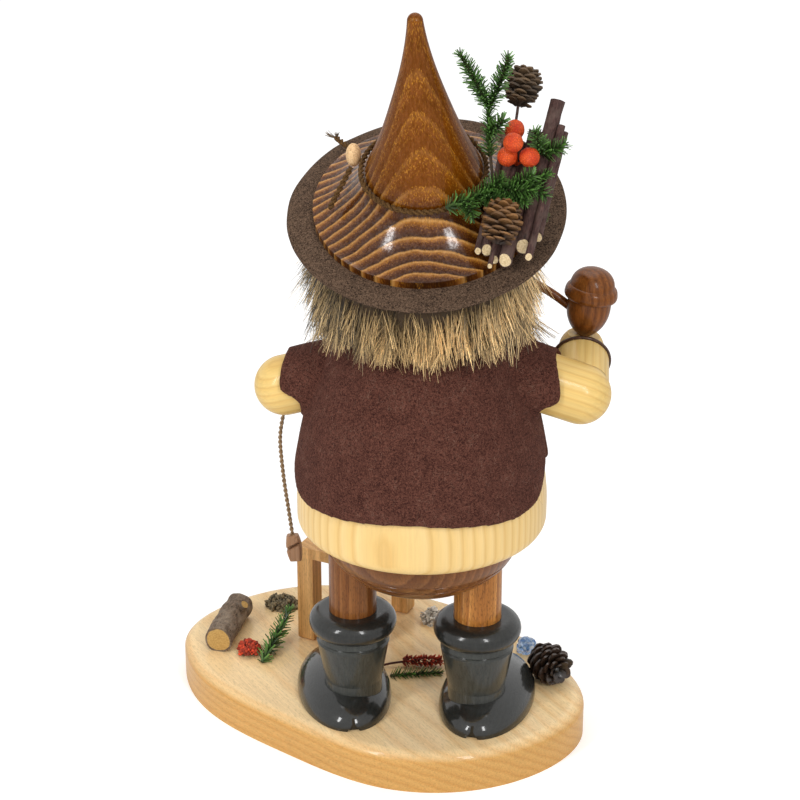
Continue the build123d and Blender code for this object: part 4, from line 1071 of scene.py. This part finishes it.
tips = (0.4, 1.0)
lower_finish = grown("lower_cone_scale", (0.022, 0.008, 0.002), (0.185, 0.084, 0.022), 0.45, rough=0.6, bend=tips)
upper_finish = grown("upper_cone_scale", (0.016, 0.008, 0.003), (0.115, 0.068, 0.031), 0.45, rough=0.65,
                     bend=tips)
dark_finish = grown("ground_cone_scale", (0.007, 0.004, 0.002), (0.045, 0.023, 0.013), 0.4, rough=0.4, coat=0.2,
                    bend=tips)
lower = cone("lower_cone_scales", in_bundle(-28.6, 12.1, 15.9), twig_way, 18 * mm, 7.2 * mm, scales=64,
             opening=1.0)
settle(lower, [lower_finish], "upper_body", "cone_scale", "lower_cone")
upper = cone("upper_cone_scales", in_bundle(-23.1, 5, 71.4), twig_way, 16.5 * mm, 6.6 * mm, scales=70,
             opening=0.95)
stalk_route = [in_bundle(-24.7, 4.9, 52), in_bundle(-24.4, 5.4, 62), in_bundle(-23.1, 5, 73)]
stalk = stem("upper_stalk", smooth_line(stalk_route, 0.6 * mm), 0.6 * mm)
settle(upper, [upper_finish], "upper_body", "cone_scale", "upper_cone")
settle(stalk, [twig_bark], "upper_body", "cone_scale", "upper_cone")

# %% [markdown]
# ## Berries
# Four berries on wires stand above the twigs: paper-wrapped balls with a fine netted skin. Each is a ball
# with a small pointed end, and noise keeps them from being alike.

# %% Berries
berry_radius = 3.85 * mm
berry_places = [(-35.4, -2.8, 40.4), (-35.6, 6.4, 42), (-33.2, 6, 34.5), (-41.8, 7, 35.4)]
berry_root = on_hat(-36.5, 3.8, 28.4)
balls = []
for number, spot in enumerate(hat_route(*berry_places)):
    ball = primitive(bpy.ops.mesh.primitive_uv_sphere_add, segments=32, ring_count=20, radius=berry_radius)
    for vertex in ball.data.vertices:
        dent = noise.noise(vertex.co / mm * 0.5 + Vector((number * 9.1, 0, 0)))
        vertex.co *= 1 + 0.05 * dent + 0.16 * max(0.0, -vertex.co.z / berry_radius) ** 14
    ball.data.transform(place_at(spot, spot - berry_root, across, (1, 1, 1)))
    balls.append(done(ball, f"berry_{number}", 180))
    wire_line = smooth_line([berry_root, (berry_root + spot) / 2, spot], 0.8 * mm)
    balls.append(stem(f"wire_{number}", wire_line, 0.6 * mm))
berry_finish, shader = start_finish("berry_skin", Roughness=0.5, Specular_IOR_Level=0.3)
place = object_place(shader)
inputs = {"Vector": place, "Scale": 1200.0}
net = add_node(shader.id_data, "TexVoronoi", inputs, feature="DISTANCE_TO_EDGE").outputs["Distance"]
blush = mottle(place, 230.0, 3.0)
skin_colour = ramp(blush, [(0.32, (0.66, 0.050, 0.008)), (0.66, (0.90, 0.135, 0.022))])
link(shader, Base_Color=mix_colour(spread(net, 0.0, 0.22, 0.75, 0.0), skin_colour, (0.40, 0.025, 0.006)),
     Roughness=vary(blush, 0.55, 0.4))
dented(shader, spread(net, 0.0, 0.3), 0.6, 0.3)
settle(join("berry_cluster", balls, 180), [berry_finish], "upper_body", "berry", "berries")

# %% [markdown]
# ## Fir sprigs
# The green sprigs have a thin woody stem with short flat needles all round, leaning forward. One needle is
# modelled, and copies of it follow each stem in a spiral, longer in the middle and shorter at the tip.


# %% Sprigs
leaf_turn, line_step, straight_up = 2.39996, 0.25 * mm, Vector((0, 0, 1))


def sprig(name, bare, routes, length, pitch, up):
    needle = strand("needle", sides=4, cuts=3, bend=0.3, thick=0.135, taper=0.45)
    stems, places = [], []
    for number, route in enumerate(bare + routes):
        line = smooth_line(route, line_step)
        stems.append(stem(f"{name}_stem_{number}", line, 0.6 * mm, sides=7))
        if number < len(bare):
            continue
        frames = line_frames(line)
        step = max(1, round(pitch / line_step))
        for index in range(0, len(line), step):
            way, side, top = (Vector(axis) for axis in frames[index])
            share = index / len(line)
            for turn in range(3):
                angle = (index / step * 3 + turn) * leaf_turn + chance.normal(0, 0.25)
                out = side * cos(angle) + top * sin(angle)
                out = (out + up * 0.25).normalized()
                lean = way * chance.uniform(0.55, 0.85) * (1 + 0.9 * share ** 3) + out
                long = length * chance.uniform(0.78, 1.1) * (1 - 0.35 * share ** 4)
                places.append(place_at(line[index], lean, out, (long, 0.4 * long, long)))
    return strew(name, [needle], places), join(name + "_stem", stems, 60)


needle_green = grown("needle_green", (0.018, 0.050, 0.007), (0.105, 0.230, 0.046), 0.75, rough=0.42)
stem_brown = grown("stem_brown", (0.05, 0.032, 0.014), (0.06, 0.05, 0.02), 0.2, rough=0.8)
print("sprig maker ready")

# %% [markdown]
# ## Where the sprigs grow
# Three sprigs are in the bouquet, with routes in the hat's frame, and two lie on the slab. The tall one
# starts with a bare piece of stem. Each gives a mesh of needles and a mesh of stems.

# %% Sprig routes
tall_bare = [((-28.2, 10.9, 23.8), (-26.5, 5, 33), (-25.8, 0.5, 41.5))]
tall = [((-26.5, 5, 33), (-25.8, 0.5, 41.5), (-25.9, -2, 45.6), (-25.5, -4, 50)),
        ((-25.5, -4, 50), (-21.5, -3, 63), (-15.9, -1, 78)),
        ((-25.5, -4, 50), (-30.5, -5, 61), (-33.3, -5.3, 74)),
        ((-25.8, 0.5, 41.5), (-29, 1.5, 45), (-31.5, 2, 49))]
small = [((-46, 2.1, 32.8), (-50.8, 1.5, 34.4), (-54.5, 0.6, 36.8)),
         ((-46, 2.1, 32.8), (-45, 2.5, 38), (-43.5, 2.2, 44))]
band = [((-11, 24, 23.5), (-24, 16.2, 23.6), (-36, 13.2, 25.7), (-49, 9.6, 29.4)),
        ((-18, 19.5, 23.6), (-20, 23, 23.4), (-21, 26.5, 22)),
        ((-25, 16, 23.7), (-30, 18, 23.4), (-33, 21, 22)),
        ((-24, 16.2, 23.6), (-28, 14.5, 27), (-32, 13, 30)),
        ((-33, 14, 25), (-38, 17, 25), (-41, 19.5, 23.5)),
        ((-36, 13.2, 25.7), (-40, 13, 29), (-43, 12.5, 31.5)),
        ((-41, 12, 27), (-45, 14.5, 26.5), (-48, 16.5, 25)),
        ((-24, 16.2, 23.6), (-29, 20, 25.5), (-35, 22.5, 25)),
        ((-30, 14.7, 24.6), (-36, 17, 28), (-44, 17.5, 28))]
ground = [((74.5, -25, 19), (70, -41, 24), (66.8, -54, 30))]
spike = [((16, -20.2, 19), (6, -23, 19.1), (-5.8, -25.5, 19))]
for name, body, placed, bare, routes, length, pitch, up in (
        ("tall_sprig", "upper_body", hat_route, tall_bare, tall, 5.0, 0.6, bundle_up),
        ("small_sprig", "upper_body", hat_route, [], small, 5.0, 0.6, bundle_up),
        ("band_sprig", "upper_body", hat_route, [], band, 5.0, 0.6, bundle_up),
        ("ground_sprig", "stand", plain_route, [], ground, 5.6, 0.8, straight_up),
        ("spike_sprig", "stand", plain_route, [], spike, 4.2, 0.8, straight_up)):
    needles, stems = sprig(name + "_needles", [placed(*route) for route in bare],
                           [placed(*route) for route in routes], length * mm, pitch * mm, up)
    settle(needles, [needle_green], body, "needle", name)
    settle(stems, [stem_brown], body, "needle", name)

# %% [markdown]
# ## Moss and lichen
# A bed of moss fills the space under the twigs, and two tufts lie on the slab. Each gets a lumpy body from
# its solid, and small lobes over it.


# %% Moss
def lumpy(node, name, voxel, lump, grain):
    piece = copy_solid(node, name)
    remould(piece, voxel, 2)
    swell(piece, lambda spot: lump * (noise.noise(spot * grain) - 0.6))
    return done(piece, name, 180)


def lobes(name, body, count, size, stretch):
    lobe = primitive(bpy.ops.mesh.primitive_ico_sphere_add, subdivisions=2, radius=0.5)
    for vertex in lobe.data.vertices:
        vertex.co *= 1 + 0.55 * noise.noise(vertex.co * 3.1)
        vertex.co.z += 0.5
    places = []
    faces = body.data.polygons
    for number in chance.choice(len(faces), count):
        face = faces[int(number)]
        way = face.normal + Vector(chance.normal(0, 0.5, 3))
        width = size * chance.uniform(0.5, 1.2)
        places.append(place_at(face.center - face.normal * size * 0.3, way, Vector(chance.normal(size=3)),
                               (width, width * 0.5, width * stretch * chance.uniform(0.6, 1.2))))
    return done(strew(name, [lobe], places), name, 60)


moss_finish = grown("moss_lobe", (0.035, 0.032, 0.012), (0.12, 0.125, 0.045), 0.5, rough=0.95)
lichen_finish = grown("lichen_lobe", (0.06, 0.050, 0.026), (0.25, 0.205, 0.125), 0.5, rough=0.95)
pale_finish = grown("pale_lobe", (0.28, 0.24, 0.19), (0.72, 0.68, 0.60), 0.25, rough=0.95)
for node, body, slot, finish, count, size, stretch in (
        ("moss_bed", "upper_body", "moss", moss_finish, 700, 2.2 * mm, 1.3),
        ("lichen_tuft", "stand", "moss", lichen_finish, 420, 2.0 * mm, 1.0),
        ("pale_tuft", "stand", "pale_moss", pale_finish, 300, 1.6 * mm, 1.6)):
    clump = lumpy(node, node + "_body", voxel=0.7 * mm, lump=1.0 * mm, grain=700)
    settle(clump, [finish], body, slot, node)
    settle(lobes(node + "_lobes", clump, count, size, stretch), [finish], body, slot)

# %% [markdown]
# ## Dried flowers
# On the slab lie a small red flower head and a red spike over the green. Both are one bud in copies: in a
# dome for the head, and all round a thin stalk for the spike.

# %% Dried flowers
red_finish = grown("flower_red", (0.10, 0.012, 0.006), (0.52, 0.050, 0.014), 0.55, rough=0.75)
bud = primitive(bpy.ops.mesh.primitive_ico_sphere_add, subdivisions=2, radius=0.5)
for vertex in bud.data.vertices:
    vertex.co.z += 0.5
    vertex.co.xy *= 1.15 - 0.5 * vertex.co.z
head_buds, spike_buds = 95, 170
flower_middle = Vector((82.0, -34.0, 19.6)) * mm
places = []
for number in range(head_buds):
    rise = 1 - (number + 0.5) / head_buds
    turn = number * leaf_turn
    ring = sqrt(1 - rise * rise)
    out = Vector((cos(turn) * ring, sin(turn) * ring, rise))
    root = flower_middle + Vector((out.x * 4.1, out.y * 4.1, out.z * 3.2)) * mm
    way = out + Vector(chance.normal(0, 0.15, 3))
    places.append(place_at(root, way, Vector((0.3, 0.2, 0.9)), [chance.uniform(1.2, 2.3) * mm] * 3))
flower = strew("flower_buds", [bud], places, keep_models=True)
settle(done(flower, "flower_buds", 60), [red_finish], "stand", "flower", "ground_flower")

spike_start, spike_end = plain_route((12, -30.5, 21), (-5, -32.8, 21))
spike_way = (spike_end - spike_start).normalized()
spike_side = spike_way.cross(straight_up).normalized()
places = []
for number in range(spike_buds):
    share = (number + 0.5) / spike_buds
    turn = number * leaf_turn
    out = spike_side * cos(turn) + straight_up * sin(turn)
    girth = 2.3 * mm * sqrt(sin(pi * (0.12 + 0.85 * share)))
    root = spike_start.lerp(spike_end, share) + out * girth * 0.45
    way = spike_way * 0.8 + out + Vector(chance.normal(0, 0.45, 3))
    places.append(place_at(root, way, out, Vector((0.9, 0.6, 1.9)) * (chance.uniform(0.6, 1.5) * mm)))
buds = strew("spike_buds", [bud], places)
settle(done(buds, "spike_buds", 60), [red_finish], "stand", "flower", "spike_flower")
stalk_route = plain_route((20.5, -29, 18.8), (16.5, -29.8, 20.4), (4, -31.6, 21))
spike_stalk = stem("spike_stalk", smooth_line(stalk_route, 0.4 * mm), 0.5 * mm)
settle(spike_stalk, [red_finish], "stand", "flower", "spike_flower")

# %% [markdown]
# ## The dark cone and the stone
# Beside the right boot lie a dark glossy cone, made as the others are, and a lump of blue and white stone,
# which is a ball broken into flats by noise with hard steps.

# %% Dark cone and stone
cone_turn = radians(124)
cone_way = Vector((cos(cone_turn), sin(cone_turn), 0))
cone_foot = Vector((-53.5, -28.0, slab_top + 8.0)) * mm - cone_way * 10 * mm
dark_cone = cone("ground_cone_scales", cone_foot, cone_way, 20 * mm, 8 * mm, scales=54, opening=0.95)
settle(dark_cone, [dark_finish], "stand", "cone_scale", "ground_cone")

stone = primitive(bpy.ops.mesh.primitive_ico_sphere_add, subdivisions=3, radius=1)
for vertex in stone.data.vertices:
    cell = noise.cell_vector(vertex.co * 1.7 + Vector((0.4, 2.2, 5.1)))
    vertex.co *= 0.86 + 0.22 * (cell.x + cell.y + cell.z - 1.5)
    vertex.co.z = max(vertex.co.z, -0.55)
stone_size = Matrix.Diagonal((5.0 * mm, 5.0 * mm, 5.6 * mm, 1))
stone.data.transform(Matrix.Translation(Vector((-42.0, -51.0, 20.6)) * mm) @ stone_size)
rest_on_slab(stone)
blue_to_white = [(0.38, (0.10, 0.26, 0.62)), (0.5, (0.42, 0.60, 0.85)), (0.62, (0.92, 0.95, 0.98))]
stone_finish = speckled("stone_blue", blue_to_white, 420.0, wave=1.0, Roughness=0.12, Transmission_Weight=0.65,
                        IOR=1.45)
settle(done(stone, "blue_stone_lump", 25), [stone_finish], "stand", "blue_glass", "blue_stone")

# %% [markdown]
# ## The bead
# The bead is an oval of bare wood with dry cracks along it. Noise that is drawn out along the hat's axis,
# in a frame round the bead's own centre, gives grain and cracks.

# %% Bead finish
bead_finish, shader = start_finish("bead_wood", Roughness=0.7, Specular_IOR_Level=0.25)
local = local_place(shader, on_hat(28.4, -6.5, 20.9), (-tilt - 0.35, 0.25, 0), (mm, mm, 6 * mm))
grain, cracks = mottle(local, 1.5, 4.0), mottle(local, 0.75, 1.0)
crack = spread(calc("ABSOLUTE", calc("SUBTRACT", cracks, 0.5)), 0.0, 0.02, 0.7, 0.0)
bare_wood = ramp(grain, [(0.3, (0.72, 0.43, 0.20)), (0.7, (0.92, 0.65, 0.36))])
link(shader, Base_Color=mix_colour(crack, bare_wood, (0.24, 0.115, 0.05)), Roughness=vary(grain, 0.6, 0.8))
dented(shader, calc("SUBTRACT", grain, crack), 0.5, 0.3)
dress(bead_finish, "hat_bead")
print("bead ready")
